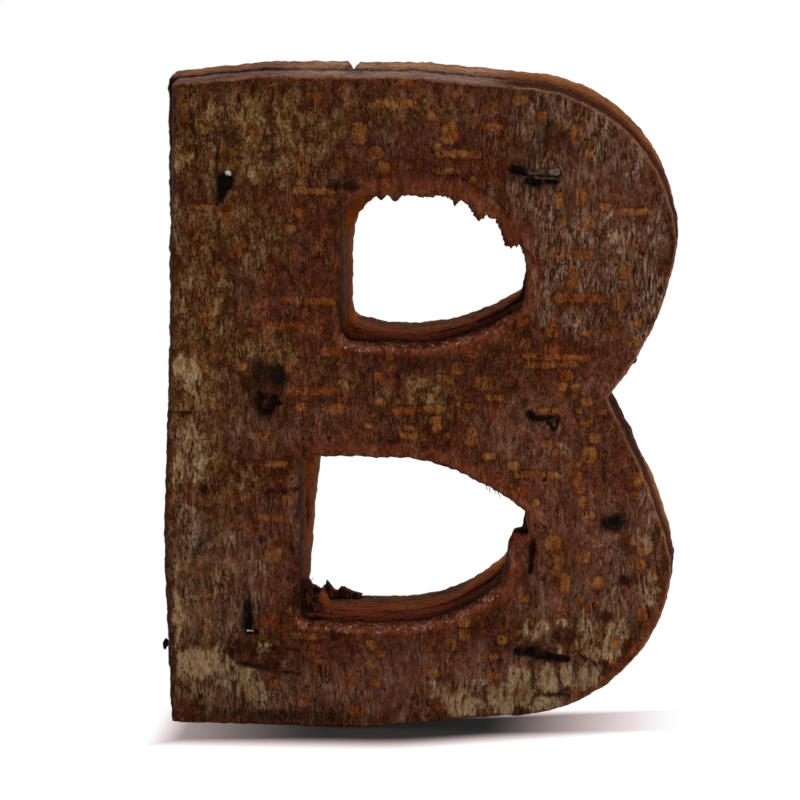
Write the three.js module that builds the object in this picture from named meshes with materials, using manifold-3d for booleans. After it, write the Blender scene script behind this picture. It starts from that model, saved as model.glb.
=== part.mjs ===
// A rustic capital letter sawn from two plies of tree bark, laid back to back and held by six steel staples.
// Millimetres, +Z up. The letter faces -Y and reads along +X. Its origin is the middle of its foot.

import * as THREE from 'three';
import { mergeVertices } from 'three/addons/utils/BufferGeometryUtils.js';
import Module from 'manifold-3d';

const wasm = await Module();
wasm.setup();

// The two plies. x is measured from the left edge of the stem, z from the ground.
const FRONT_PLY = 5.7;
const REAR_PLY = 7.0;
const PLY_GAP = 0.3;
const REAR_SHIFT = 0.6; // the saw leaned, so the rear ply lies this far to the left
const REAR_WAIST_DROP = 2.8; // and its waist lies this much lower
const REAR_WAIST_INSET = 0.7; // and this much deeper
const REAR_UPPER_OVERHANG = 0.6; // how far the rear ply stands out from the stem into the upper counter
const REAR_LOWER_OVERHANG = 1.3; // and into the top of the lower counter

// The bars and the counters, which are the letter's openings, from the ground up and from the stem outward.
const BOTTOM_BAR = 11.6;
const LOWER_COUNTER_HEIGHT = 18.6;
const MIDDLE_BAR = 12.4;
const UPPER_COUNTER_HEIGHT = 16.0;
const TOP_BAR = 12.5;
const STEM_AT_LOWER_COUNTER = 14.6;
const STEM_AT_UPPER_COUNTER = 19.0;
const LOWER_COUNTER_WIDTH = 24.3;
const LOWER_BOWL_WALL = 15.6;
const UPPER_BOWL_WALL = 15.6;

// The stem and the upper edge.
const FOOT_INSET = 0.4;
const FRONT_STEM_LEAN = 0.85;
const REAR_STEM_LEAN = 0.1;
const STEM_SWELL = 0.6; // how far past the foot the stem's edge stands out
const STEM_SWELL_HEIGHT = 23;
const STEM_FOOT_BOW = 0.12;
const STEM_HOLLOW = 0.2; // above the swell
const FRONT_TOP_CORNER_DROP = 1.0;
const REAR_TOP_CORNER_DROP = 1.35;
const REAR_TOP_START_DROP = 0.1;
const TOP_LEVEL_START = 11;
const TOP_LEVEL_LENGTH = 16;

// The two bowls, the waist between them, and how far short of the lower bowl's lowest point each foot ends.
const SHOULDER_RADIUS = 16.65;
const SHOULDER_DROP = 0.9;
const SHOULDER_START = 84; // degrees up from level
const WAIST_LIFT = 7.1; // above the lower counter
const WAIST_DEPTH = 7.1;
const UPPER_BOWL_BOW = 1.3;
const FRONT_LOWER_BOWL_BOW = 0.55;
const REAR_LOWER_BOWL_BOW = 1.25;
const LOWER_BELLY_RADIUS = 17.7;
const LOWER_BELLY_LIFT = 1.9;
const FRONT_FOOT_SETBACK = 16.6;
const REAR_FOOT_SETBACK = 3.6;

// How the counters' outlines turn: rounded corners at the stem, a slanting ceiling and floor, a blunt nose.
const UPPER_TOP_CORNER = 3.0;
const REAR_UPPER_TOP_CORNER = 7.0;
const UPPER_BOTTOM_CORNER = 1.6;
const REAR_UPPER_TILT = 0.4; // how much higher the rear ply's floor is at the stem
const REAR_UPPER_TILT_RUN = 3.8;
const UPPER_CEILING_RUN = 11.6;
const UPPER_CEILING_FALL = 5.3;
const UPPER_CEILING_BOW = 0.95;
const UPPER_FLOOR_RUN = 8.0;
const UPPER_FLOOR_RISE = 4.15;
const UPPER_FLOOR_BOW = 0.85;
const UPPER_NOSE_INSET = 0.7;
const LOWER_TOP_CORNER = 2.0;
const LOWER_BOTTOM_CORNER = 0.9;
const LOWER_CEILING_RUN = 12.0;
const LOWER_CEILING_FALL = 5.6;
const LOWER_CEILING_BOW = 0.85;
const LOWER_FLOOR_RUN = 9.0;
const LOWER_FLOOR_RISE = 5.0;
const LOWER_FLOOR_BOW = 1.35;
const LOWER_NOSE_INSET = 2.6;
const LOWER_NOSE_BOW = 0.9;

// Torn bark: how far along the edge that it breaks each tear lies, its width and its depth, and how far along
// its width a slanted tear has its tip.
const UPPER_CEILING_TEARS = [
  { share: 0.16, width: 0.9, depth: 0.5 },
  { share: 0.34, width: 1.0, depth: 0.6 },
];
const UPPER_SLANT_TEARS = [
  { share: 0.09, width: 0.9, depth: 0.45 },
  { share: 0.333, width: 2.5, depth: 1.15, tip: 0.8 },
  { share: 0.77, width: 3.6, depth: 0.95, tip: 0.86 },
];
const REAR_TOP_SPLIT = { share: 0.547, width: 1.3, depth: 0.9 };
const REAR_SPLINTER = { share: 0.89, width: 1.5, depth: 1.2 };

// The torn flap that stands up at the right end of the lower counter.
const FLAP_DROP = 2.3; // its top, below the counter's nose
const FLAP_WIDTH = 1.6;
const FLAP_LEAN = 0.3;
const FLAP_BARB = 1.5; // from its top to the barb on its outer side

// The staples, of flat wire, driven from the front.
const STAPLE_CROWN = 5.8;
const STAPLE_LEG = 10.4;
const STAPLE_POINT = 1.0;
const WIRE_WIDTH = 1.25;
const WIRE_THICKNESS = 1.05;
const WIRE_BEND = 0.5;
const STAPLE_SINK = 0.7;
const STAPLE_CLEARANCE = 0.3;

// Each staple's middle on the front face: inward from the stem's left edge or outward from a counter's nose,
// and up or down from a bar's edge. A pit is the open slot over a crown.
const TOP_LEFT_INWARD = 6.7;
const TOP_LEFT_RISE = 0.8;
const TOP_LEFT_PIT = 3.2;
const TOP_RIGHT_OUTWARD = 1.0;
const TOP_RIGHT_RISE = 2.8;
const TOP_RIGHT_PIT = 6.4;
const MIDDLE_LEFT_INWARD = 11.2;
const MIDDLE_LEFT_RISE = 6.6;
const MIDDLE_LEFT_PIT = 4.6;
const MIDDLE_RIGHT_OUTWARD = 2.0;
const MIDDLE_RIGHT_RISE = 4.7;
const MIDDLE_RIGHT_PIT = 4.2;
const BOTTOM_LEFT_INWARD = 8.9;
const BOTTOM_LEFT_RISE = 0.7;
const BOTTOM_LEFT_PIT = 3.8;
const BOTTOM_RIGHT_OUTWARD = 1.6;
const BOTTOM_RIGHT_DROP = 2.7;
const BOTTOM_RIGHT_PIT = 6.4;

// What follows from the sizes above.
const LOWER_CEILING = BOTTOM_BAR + LOWER_COUNTER_HEIGHT;
const UPPER_FLOOR = LOWER_CEILING + MIDDLE_BAR;
const UPPER_CEILING = UPPER_FLOOR + UPPER_COUNTER_HEIGHT;
const LETTER_HEIGHT = UPPER_CEILING + TOP_BAR;
const LOWER_NOSE = STEM_AT_LOWER_COUNTER + LOWER_COUNTER_WIDTH;
const LETTER_WIDTH = LOWER_NOSE + LOWER_BOWL_WALL;
const UPPER_NOSE = LETTER_WIDTH - UPPER_BOWL_WALL;

// The staples. Turn is how the crown lies, in degrees up from level. The bark closes over the crown's ends
// where the pit is the shorter.
const STAPLES = [
  {
    name: 'staple_top_left',
    x: TOP_LEFT_INWARD,
    z: UPPER_CEILING + TOP_LEFT_RISE,
    turn: 88,
    pit: TOP_LEFT_PIT,
  },
  {
    name: 'staple_top_right',
    x: UPPER_NOSE + TOP_RIGHT_OUTWARD,
    z: UPPER_CEILING + TOP_RIGHT_RISE,
    turn: -5,
    pit: TOP_RIGHT_PIT,
  },
  {
    name: 'staple_middle_left',
    x: MIDDLE_LEFT_INWARD,
    z: LOWER_CEILING + MIDDLE_LEFT_RISE,
    turn: 62,
    pit: MIDDLE_LEFT_PIT,
  },
  {
    name: 'staple_middle_right',
    x: LOWER_NOSE + MIDDLE_RIGHT_OUTWARD,
    z: LOWER_CEILING + MIDDLE_RIGHT_RISE,
    turn: 2,
    pit: MIDDLE_RIGHT_PIT,
  },
  {
    name: 'staple_bottom_left',
    x: BOTTOM_LEFT_INWARD,
    z: BOTTOM_BAR + BOTTOM_LEFT_RISE,
    turn: 86,
    pit: BOTTOM_LEFT_PIT,
  },
  {
    name: 'staple_bottom_right',
    x: LOWER_NOSE + BOTTOM_RIGHT_OUTWARD,
    z: BOTTOM_BAR - BOTTOM_RIGHT_DROP,
    turn: -3,
    pit: BOTTOM_RIGHT_PIT,
  },
];

const ARC_STEP = 1.1;
const LEAST_ARC_STEPS = 3;
const SHORTEST_EDGE = 0.02;
const BARK_LOOK = { color: '#4a2d20', roughness: 0.6, metalness: 0 };
const INNER_BARK_LOOK = { color: '#6b3d22', roughness: 0.65, metalness: 0 };
const STEEL_LOOK = { color: '#8b8a88', roughness: 0.4, metalness: 1 };

const point = (x, z) => new THREE.Vector2(x, z);
const radians = THREE.MathUtils.degToRad;

// The points of a circular arc. Angles are in degrees, up from +X.
function arc(centre, radius, from, to) {
  const curve = new THREE.EllipseCurve(
    centre.x, centre.y, radius, radius, radians(from), radians(to), to < from,
  );
  const steps = Math.max(LEAST_ARC_STEPS, Math.ceil(curve.getLength() / ARC_STEP));
  return curve.getPoints(steps);
}

// A closed loop without points that repeat the one before.
function closed(points) {
  return points.filter((place, i) => place.distanceTo(points.at(i - 1)) > SHORTEST_EDGE);
}

// The points of a line from a to b whose middle bows out to the left by the given amount.
function bowed(a, b, bow) {
  const chord = b.clone().sub(a);
  const left = point(-chord.y, chord.x).normalize();
  const control = a.clone().lerp(b, 0.5).addScaledVector(left, 2 * bow);
  const curve = new THREE.QuadraticBezierCurve(a, control, b);
  const steps = Math.max(LEAST_ARC_STEPS, Math.ceil(chord.length() / ARC_STEP));
  return curve.getPoints(steps);
}

// A run of points whose edge is torn: each tear is a triangle to the right of the way.
function torn(run, tears) {
  let walked = 0;
  const path = run.map((place, i) => {
    walked += i > 0 ? place.distanceTo(run[i - 1]) : 0;
    return { along: walked, place };
  });
  const placeAt = (wanted) => {
    const along = THREE.MathUtils.clamp(wanted, 0, walked);
    const last = path.findIndex((step, i) => i > 0 && step.along >= along);
    const [a, b] = [path[last - 1], path[last]];
    const share = (along - a.along) / (b.along - a.along);
    const right = point(b.place.y - a.place.y, a.place.x - b.place.x).normalize();
    return { place: a.place.clone().lerp(b.place, share), right };
  };
  const inTear = (along) => tears.some(({ share, width }) => Math.abs(along - share * walked) <= width / 2);
  const whole = path.filter(({ along }) => !inTear(along));
  const broken = tears.flatMap(({ share, width, depth, tip = 0.5 }) => {
    const start = share * walked - width / 2;
    const end = start + width;
    const tipAlong = start + tip * width;
    const { place, right } = placeAt(tipAlong);
    return [
      { along: start, place: placeAt(start).place },
      { along: tipAlong, place: place.addScaledVector(right, depth) },
      { along: end, place: placeAt(end).place },
    ];
  });
  return [...whole, ...broken].sort((a, b) => a.along - b.along).map(({ place }) => place);
}

// The letter's outer edge, walked up the stem, over the bowls and back along the foot.
function outerEdge(ply) {
  const { stemLean, cornerDrop, startDrop, waistDrop, waistInset, lowerBow, footSetback, topTears } = ply;
  const foot = point(FOOT_INSET, 0);
  const swell = point(FOOT_INSET - STEM_SWELL, STEM_SWELL_HEIGHT);
  const topCorner = point(FOOT_INSET + stemLean, LETTER_HEIGHT - cornerDrop);
  const topStart = point(TOP_LEVEL_START, LETTER_HEIGHT - startDrop);
  const topEnd = point(TOP_LEVEL_START + TOP_LEVEL_LENGTH, LETTER_HEIGHT);
  const shoulder = point(
    LETTER_WIDTH - SHOULDER_RADIUS,
    LETTER_HEIGHT - SHOULDER_DROP - SHOULDER_RADIUS,
  );
  const upperSide = point(LETTER_WIDTH, shoulder.y);
  const waist = point(LETTER_WIDTH - WAIST_DEPTH - waistInset, LOWER_CEILING + WAIST_LIFT - waistDrop);
  const belly = point(LETTER_WIDTH - LOWER_BELLY_RADIUS, LOWER_BELLY_LIFT + LOWER_BELLY_RADIUS);
  const lowerSide = point(LETTER_WIDTH, belly.y);
  return closed([
    ...bowed(foot, swell, STEM_FOOT_BOW),
    ...bowed(swell, topCorner, -STEM_HOLLOW),
    ...torn([topStart, topEnd], topTears),
    ...arc(shoulder, SHOULDER_RADIUS, SHOULDER_START, 0),
    ...bowed(upperSide, waist, UPPER_BOWL_BOW),
    ...bowed(waist, lowerSide, lowerBow),
    ...arc(belly, LOWER_BELLY_RADIUS, 0, -90),
    point(belly.x - footSetback, 0),
  ]);
}

// The upper counter, walked up the stem, along the ceiling, round the nose and back along the floor.
function upperCounter({ overhang, topRadius, tilt, tiltRun, ceilingTears, slantTears }) {
  const left = STEM_AT_UPPER_COUNTER;
  const side = left + overhang;
  const topCorner = point(side + topRadius, UPPER_CEILING - topRadius);
  const bottomCorner = point(side + UPPER_BOTTOM_CORNER, UPPER_FLOOR + tilt + UPPER_BOTTOM_CORNER);
  const ceilingStart = point(topCorner.x, UPPER_CEILING);
  const ceilingEnd = point(left + UPPER_CEILING_RUN, UPPER_CEILING);
  const noseTop = point(UPPER_NOSE - UPPER_NOSE_INSET, UPPER_CEILING - UPPER_CEILING_FALL);
  const noseBottom = point(UPPER_NOSE - UPPER_NOSE_INSET, UPPER_FLOOR + UPPER_FLOOR_RISE);
  const floorEnd = point(left + UPPER_FLOOR_RUN, UPPER_FLOOR);
  const slant = bowed(ceilingEnd, noseTop, UPPER_CEILING_BOW);
  return closed([
    ...arc(bottomCorner, UPPER_BOTTOM_CORNER, 270, 180),
    ...arc(topCorner, topRadius, 180, 90),
    ...torn([ceilingStart, ceilingEnd], ceilingTears),
    ...torn(slant, slantTears),
    ...bowed(noseTop, noseBottom, UPPER_NOSE_INSET),
    ...bowed(noseBottom, floorEnd, UPPER_FLOOR_BOW),
    point(side + tiltRun, UPPER_FLOOR),
  ]);
}

// The flap's edge after the counter's nose, down its outer side to the floor.
function flapEdge(noseTop, noseBottom) {
  const top = noseTop.y - FLAP_DROP;
  const outer = noseTop.x - FLAP_WIDTH;
  return [
    noseTop,
    point(noseTop.x, top),
    point(outer, top + FLAP_LEAN),
    point(outer - FLAP_LEAN, top - FLAP_BARB),
    noseBottom,
  ];
}

// The lower counter, walked the same way. The flap stands on the front ply, the splinter on the rear ply.
function lowerCounter({ topOverhang, hasFlap, floorTears }) {
  const left = STEM_AT_LOWER_COUNTER;
  const topCorner = point(left + topOverhang + LOWER_TOP_CORNER, LOWER_CEILING - LOWER_TOP_CORNER);
  const bottomCorner = point(left + LOWER_BOTTOM_CORNER, BOTTOM_BAR + LOWER_BOTTOM_CORNER);
  const ceilingEnd = point(left + LOWER_CEILING_RUN, LOWER_CEILING);
  const noseTop = point(LOWER_NOSE, LOWER_CEILING - LOWER_CEILING_FALL);
  const noseBottom = point(LOWER_NOSE - LOWER_NOSE_INSET, BOTTOM_BAR + LOWER_FLOOR_RISE);
  const floorEnd = point(left + LOWER_FLOOR_RUN, BOTTOM_BAR);
  const floorStart = point(bottomCorner.x, BOTTOM_BAR);
  const nose = hasFlap ? flapEdge(noseTop, noseBottom) : bowed(noseTop, noseBottom, LOWER_NOSE_BOW);
  return closed([
    ...arc(bottomCorner, LOWER_BOTTOM_CORNER, 270, 180),
    ...arc(topCorner, LOWER_TOP_CORNER, 180, 90),
    ...bowed(ceilingEnd, noseTop, LOWER_CEILING_BOW),
    ...nose,
    ...bowed(noseBottom, floorEnd, LOWER_FLOOR_BOW),
    ...torn([floorEnd, floorStart], floorTears),
  ]);
}

// A solid for joining and cutting, from a closed geometry.
function solidOf(geometry) {
  const bare = geometry.clone();
  bare.deleteAttribute('normal');
  bare.deleteAttribute('uv');
  const merged = mergeVertices(bare);
  return new wasm.Manifold(new wasm.Mesh({
    numProp: 3,
    vertProperties: Float32Array.from(merged.attributes.position.array),
    triVerts: Uint32Array.from(merged.index.array),
  }));
}

// The geometry of a solid.
function geometryOf(solid) {
  const { vertProperties, triVerts } = solid.getMesh();
  const geometry = new THREE.BufferGeometry();
  geometry.setAttribute('position', new THREE.BufferAttribute(vertProperties, 3));
  geometry.setIndex(new THREE.BufferAttribute(triVerts, 1));
  geometry.computeVertexNormals();
  return geometry;
}

// An outline drawn in x and z, extruded from the depth y = near to y = far.
function slab(outline, holes, near, far) {
  const shape = new THREE.Shape(outline.toReversed());
  shape.holes = holes.map((hole) => new THREE.Path(hole));
  const geometry = new THREE.ExtrudeGeometry(shape, { depth: far - near, bevelEnabled: false });
  return geometry.rotateX(Math.PI / 2).translate(0, far, 0);
}

// The matrix that lays a staple, drawn with its crown along x and its legs along +y, into the front face.
function staplePlace({ x, z, turn }) {
  const crown = new THREE.Vector3(Math.cos(radians(turn)), 0, Math.sin(radians(turn)));
  const inward = new THREE.Vector3(0, 1, 0);
  const across = new THREE.Vector3().crossVectors(crown, inward);
  return new THREE.Matrix4().makeBasis(crown, inward, across).setPosition(x, STAPLE_SINK, z);
}

// A rectangle in the staple's own plane, drawn out across the wire with the given spare room.
function stapleBlock(x0, x1, y0, y1, width) {
  const shape = new THREE.Shape([point(x0, y0), point(x1, y0), point(x1, y1), point(x0, y1)]);
  return new THREE.ExtrudeGeometry(shape, { depth: width, bevelEnabled: false }).translate(0, 0, -width / 2);
}

// The staple: a level crown with rounded bends and two legs ground to chisel points.
function stapleGeometry() {
  const half = STAPLE_CROWN / 2;
  const inner = half - WIRE_THICKNESS;
  const leg = STAPLE_LEG - STAPLE_POINT;
  const bendLeft = point(-half + WIRE_BEND, WIRE_BEND);
  const bendRight = point(half - WIRE_BEND, WIRE_BEND);
  const bend = (centre, from, to) => new THREE.EllipseCurve(
    centre.x, centre.y, WIRE_BEND, WIRE_BEND, radians(from), radians(to), false,
  ).getPoints(LEAST_ARC_STEPS);
  const shape = new THREE.Shape([
    ...bend(bendLeft, 180, 270),
    ...bend(bendRight, 270, 360),
    point(half, STAPLE_LEG),
    point(inner, leg),
    point(inner, WIRE_THICKNESS),
    point(-inner, WIRE_THICKNESS),
    point(-inner, leg),
    point(-half, STAPLE_LEG),
  ]);
  const wire = new THREE.ExtrudeGeometry(shape, { depth: WIRE_WIDTH, bevelEnabled: false });
  return wire.translate(0, 0, -WIRE_WIDTH / 2);
}

// The room that a staple needs: an open pit, a pocket for its crown and a hole for each leg.
function stapleRoom(staple) {
  const half = STAPLE_CROWN / 2 + STAPLE_CLEARANCE;
  const inner = half - WIRE_THICKNESS - 2 * STAPLE_CLEARANCE;
  const width = WIRE_WIDTH + 2 * STAPLE_CLEARANCE;
  const pitMouth = -2 * STAPLE_SINK; // well proud of the face
  const pitFloor = WIRE_THICKNESS + STAPLE_CLEARANCE;
  const holeEnd = STAPLE_LEG + STAPLE_CLEARANCE;
  const place = staplePlace(staple);
  const blocks = [
    stapleBlock(-staple.pit / 2, staple.pit / 2, pitMouth, pitFloor, width),
    stapleBlock(-half, half, -STAPLE_CLEARANCE, pitFloor, width),
    stapleBlock(-half, -inner, 0, holeEnd, width),
    stapleBlock(inner, half, 0, holeEnd, width),
  ];
  return blocks.map((block) => solidOf(block.applyMatrix4(place))).reduce((all, block) => all.add(block));
}

// A ply with the staples' rooms cut out of it.
function ply(name, look, blank) {
  const rooms = STAPLES.map(stapleRoom);
  const cut = rooms.reduce((solid, room) => solid.subtract(room), solidOf(blank));
  const mesh = new THREE.Mesh(geometryOf(cut), new THREE.MeshStandardMaterial(look));
  mesh.name = name;
  return mesh;
}

function frontBark() {
  const edge = outerEdge({
    stemLean: FRONT_STEM_LEAN,
    cornerDrop: FRONT_TOP_CORNER_DROP,
    startDrop: 0,
    waistDrop: 0,
    waistInset: 0,
    lowerBow: FRONT_LOWER_BOWL_BOW,
    footSetback: FRONT_FOOT_SETBACK,
    topTears: [],
  });
  const upper = upperCounter({
    overhang: 0,
    topRadius: UPPER_TOP_CORNER,
    tilt: 0,
    tiltRun: UPPER_BOTTOM_CORNER,
    ceilingTears: UPPER_CEILING_TEARS,
    slantTears: UPPER_SLANT_TEARS,
  });
  const lower = lowerCounter({ topOverhang: 0, hasFlap: true, floorTears: [] });
  return ply('front_bark', BARK_LOOK, slab(edge, [upper, lower], 0, FRONT_PLY));
}

function rearBark() {
  const edge = outerEdge({
    stemLean: REAR_STEM_LEAN,
    cornerDrop: REAR_TOP_CORNER_DROP,
    startDrop: REAR_TOP_START_DROP,
    waistDrop: REAR_WAIST_DROP,
    waistInset: REAR_WAIST_INSET,
    lowerBow: REAR_LOWER_BOWL_BOW,
    footSetback: REAR_FOOT_SETBACK,
    topTears: [REAR_TOP_SPLIT],
  });
  const upper = upperCounter({
    overhang: REAR_UPPER_OVERHANG,
    topRadius: REAR_UPPER_TOP_CORNER,
    tilt: REAR_UPPER_TILT,
    tiltRun: REAR_UPPER_TILT_RUN,
    ceilingTears: [],
    slantTears: [],
  });
  const lower = lowerCounter({
    topOverhang: REAR_LOWER_OVERHANG,
    hasFlap: false,
    floorTears: [REAR_SPLINTER],
  });
  const near = FRONT_PLY + PLY_GAP;
  const blank = slab(edge, [upper, lower], near, near + REAR_PLY).translate(-REAR_SHIFT, 0, 0);
  return ply('rear_bark', INNER_BARK_LOOK, blank);
}

function stapleMesh(staple) {
  const wire = geometryOf(solidOf(stapleGeometry()));
  const mesh = new THREE.Mesh(wire, new THREE.MeshStandardMaterial(STEEL_LOOK));
  mesh.applyMatrix4(staplePlace(staple));
  mesh.name = staple.name;
  return mesh;
}

// The letter, moved so that the middle of its foot is the origin.
const letter = new THREE.Group();
letter.add(frontBark(), rearBark(), ...STAPLES.map(stapleMesh));
const box = new THREE.Box3().setFromObject(letter);
const middle = box.getCenter(new THREE.Vector3());
letter.position.set(-middle.x, -middle.y, -box.min.z);
letter.updateMatrixWorld(true);

export default letter;
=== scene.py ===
"""The looks of a rustic capital letter made of two stapled plies of tree bark.

Lengths are in millimetres up to the point where a mesh, lamp or camera is made. x runs to the right, z up,
and the front face looks towards -y. Features of the front face are placed by their pixels in the
photograph.
"""

import itertools
import math
import types

import bpy
import numpy as np
from mathutils import Matrix, Vector, geometry, kdtree


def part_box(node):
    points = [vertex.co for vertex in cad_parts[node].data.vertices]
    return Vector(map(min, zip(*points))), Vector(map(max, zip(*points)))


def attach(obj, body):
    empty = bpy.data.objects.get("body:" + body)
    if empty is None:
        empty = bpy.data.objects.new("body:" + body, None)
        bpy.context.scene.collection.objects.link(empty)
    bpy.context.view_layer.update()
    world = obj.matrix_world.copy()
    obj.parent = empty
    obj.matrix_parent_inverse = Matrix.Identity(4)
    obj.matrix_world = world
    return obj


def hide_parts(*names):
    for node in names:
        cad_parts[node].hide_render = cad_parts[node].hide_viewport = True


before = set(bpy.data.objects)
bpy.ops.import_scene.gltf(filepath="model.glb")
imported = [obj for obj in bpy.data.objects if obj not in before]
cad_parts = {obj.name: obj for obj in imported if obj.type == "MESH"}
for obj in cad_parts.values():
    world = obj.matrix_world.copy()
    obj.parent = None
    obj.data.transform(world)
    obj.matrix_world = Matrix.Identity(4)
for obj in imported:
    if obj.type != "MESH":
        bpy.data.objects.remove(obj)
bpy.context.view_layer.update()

MM = 0.001

# The camera, and the photograph that it matches.
PHOTO_PIXELS = 800
FOCAL_PIXELS = 4200
SENSOR = 36.0
VIEW_AZIMUTH = math.radians(6.0)
VIEW_ELEVATION = math.radians(12.5)
VIEW_DISTANCE = 447.09
VIEW_AIM_X = -1.425
VIEW_AIM_Z = 36.61
VIEW_CLIP = (0.01, 20.0)  # in metres

# The two plies, from the frame.
FRONT_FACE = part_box("front_bark")[0].y / MM
REAR_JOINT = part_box("rear_bark")[0].y / MM
REAR_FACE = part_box("rear_bark")[1].y / MM
FRONT_SHARE = 0.81  # the front ply's thickness, as a share of the rear ply's
FLAT_WITHIN = 0.01  # how far a point may be from a flat face and still be on it
LEAST_OUTLINE_AREA = 60.0  # smaller outlines are the staples' pits

# How finely the bark is meshed.
FACE_STEP = 0.2
WALL_STEP = 0.30
FACE_JITTER = 0.2
EDGE_CLEAR = 0.62

# Rounded and ragged edges.
OUTER_ARRIS = 0.45
COUNTER_ARRIS = 0.55
LEDGE_ARRIS = 0.9  # more than that, where a counter's edge is a ledge
JOINT_ARRIS = 0.3
TOP_STAIN = (-17.0, -10.0)  # the top's edges are darker to the left of this
TOP_PALE_END = (6.0, 11.0)  # and no longer pale to the right of this
TEETH_ABOVE = (40.0, 44.0)  # torn teeth are larger above this
TEETH_RIGHT = (0.0, 8.0)  # and to the right of this
LEDGE_FACING = 0.55  # a counter's edge that faces up more than this is a ledge

# Where the staples' wire is painted light, as highlights, by x.
PAINTED_GLINT_RIGHT = (14.2, 15.0)
PAINTED_GLINT_LEFT = (-10.0, -12.0)

# The depth of the staples' slots.
WINDOW_DEPTH = 2.05  # where the bark is open right down past the crown
PIT_DEPTH = 0.6

# A painted shadow: a strip along the foot where the floor keeps the lamps' shadow, painted darker. Its front
# edge bends back under the lower bowl, it fades slowly to the left and right, and it ends at the letter's
# left side.
SHADOW_FRONT = -12.0
SHADOW_BEND = -1.0
SHADOW_BEND_SOFT = 3.0
SHADOW_LEFT_SLOPE = 0.037
SHADOW_RIGHT_SLOPE = 0.37
SHADOW_EDGE = 5.0
SHADOW_BACK = -2.4
SHADOW_BACK_EDGE = 3.8
SHADOW_LEFT_FADE = (-9.0, -50.0)
SHADOW_LEFT_END = (-22.0, -28.5)
SHADOW_RIGHT_FADE = (7.0, 30.0)
# Painted shade: in the strip the floor is seen this pale, though it throws back light as FLOOR.
PAINTED_SHADOW_FLOOR = 0.2  # how pale the floor looks there
# A painted shadow tint: the floor's glow is pink where the shadow fades.
PAINTED_SHADOW_TINTS = ((0.15, "#ffe4e2"), (0.5, "#ffebea"), (0.8, "#fff1f1"), (0.97, "#ffffff"))

# The floor and the lights. Lamps are a place, an aim and a size in millimetres, and watts.
FLOOR = 0.9  # how much light the floor throws back
FLOOR_HALF = 3.0  # in metres
DAYLIGHT = 0.1
LAMPS = {
    "key": ((230, -540, 22), (0, 0, 30), 260, 2.75),
    "top": ((30, 260, 600), (0, 0, 20), 240, 3.8),
    "side": ((560, -60, 30), (0, 0, 35), 250, 1.1),
    "fill": ((-460, 220, 110), (0, 0, 35), 260, 0.8),
}

SEED = 7
NOISE_GAIN = 1.6

# The material numbers of a ply's faces.
FACE_KIND, EDGE_KIND, COUNTER_KIND, CRUMB_KIND = range(4)

# The camera's axes.
BACK = np.array([
    math.sin(VIEW_AZIMUTH) * math.cos(VIEW_ELEVATION),
    -math.cos(VIEW_AZIMUTH) * math.cos(VIEW_ELEVATION),
    math.sin(VIEW_ELEVATION),
])
RIGHT = np.array([math.cos(VIEW_AZIMUTH), math.sin(VIEW_AZIMUTH), 0.0])
UP = np.cross(BACK, RIGHT)
CAMERA_PLACE = np.array([VIEW_AIM_X, FRONT_FACE, VIEW_AIM_Z]) + VIEW_DISTANCE * BACK
PIXEL = VIEW_DISTANCE / FOCAL_PIXELS  # one pixel on the front face

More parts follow.
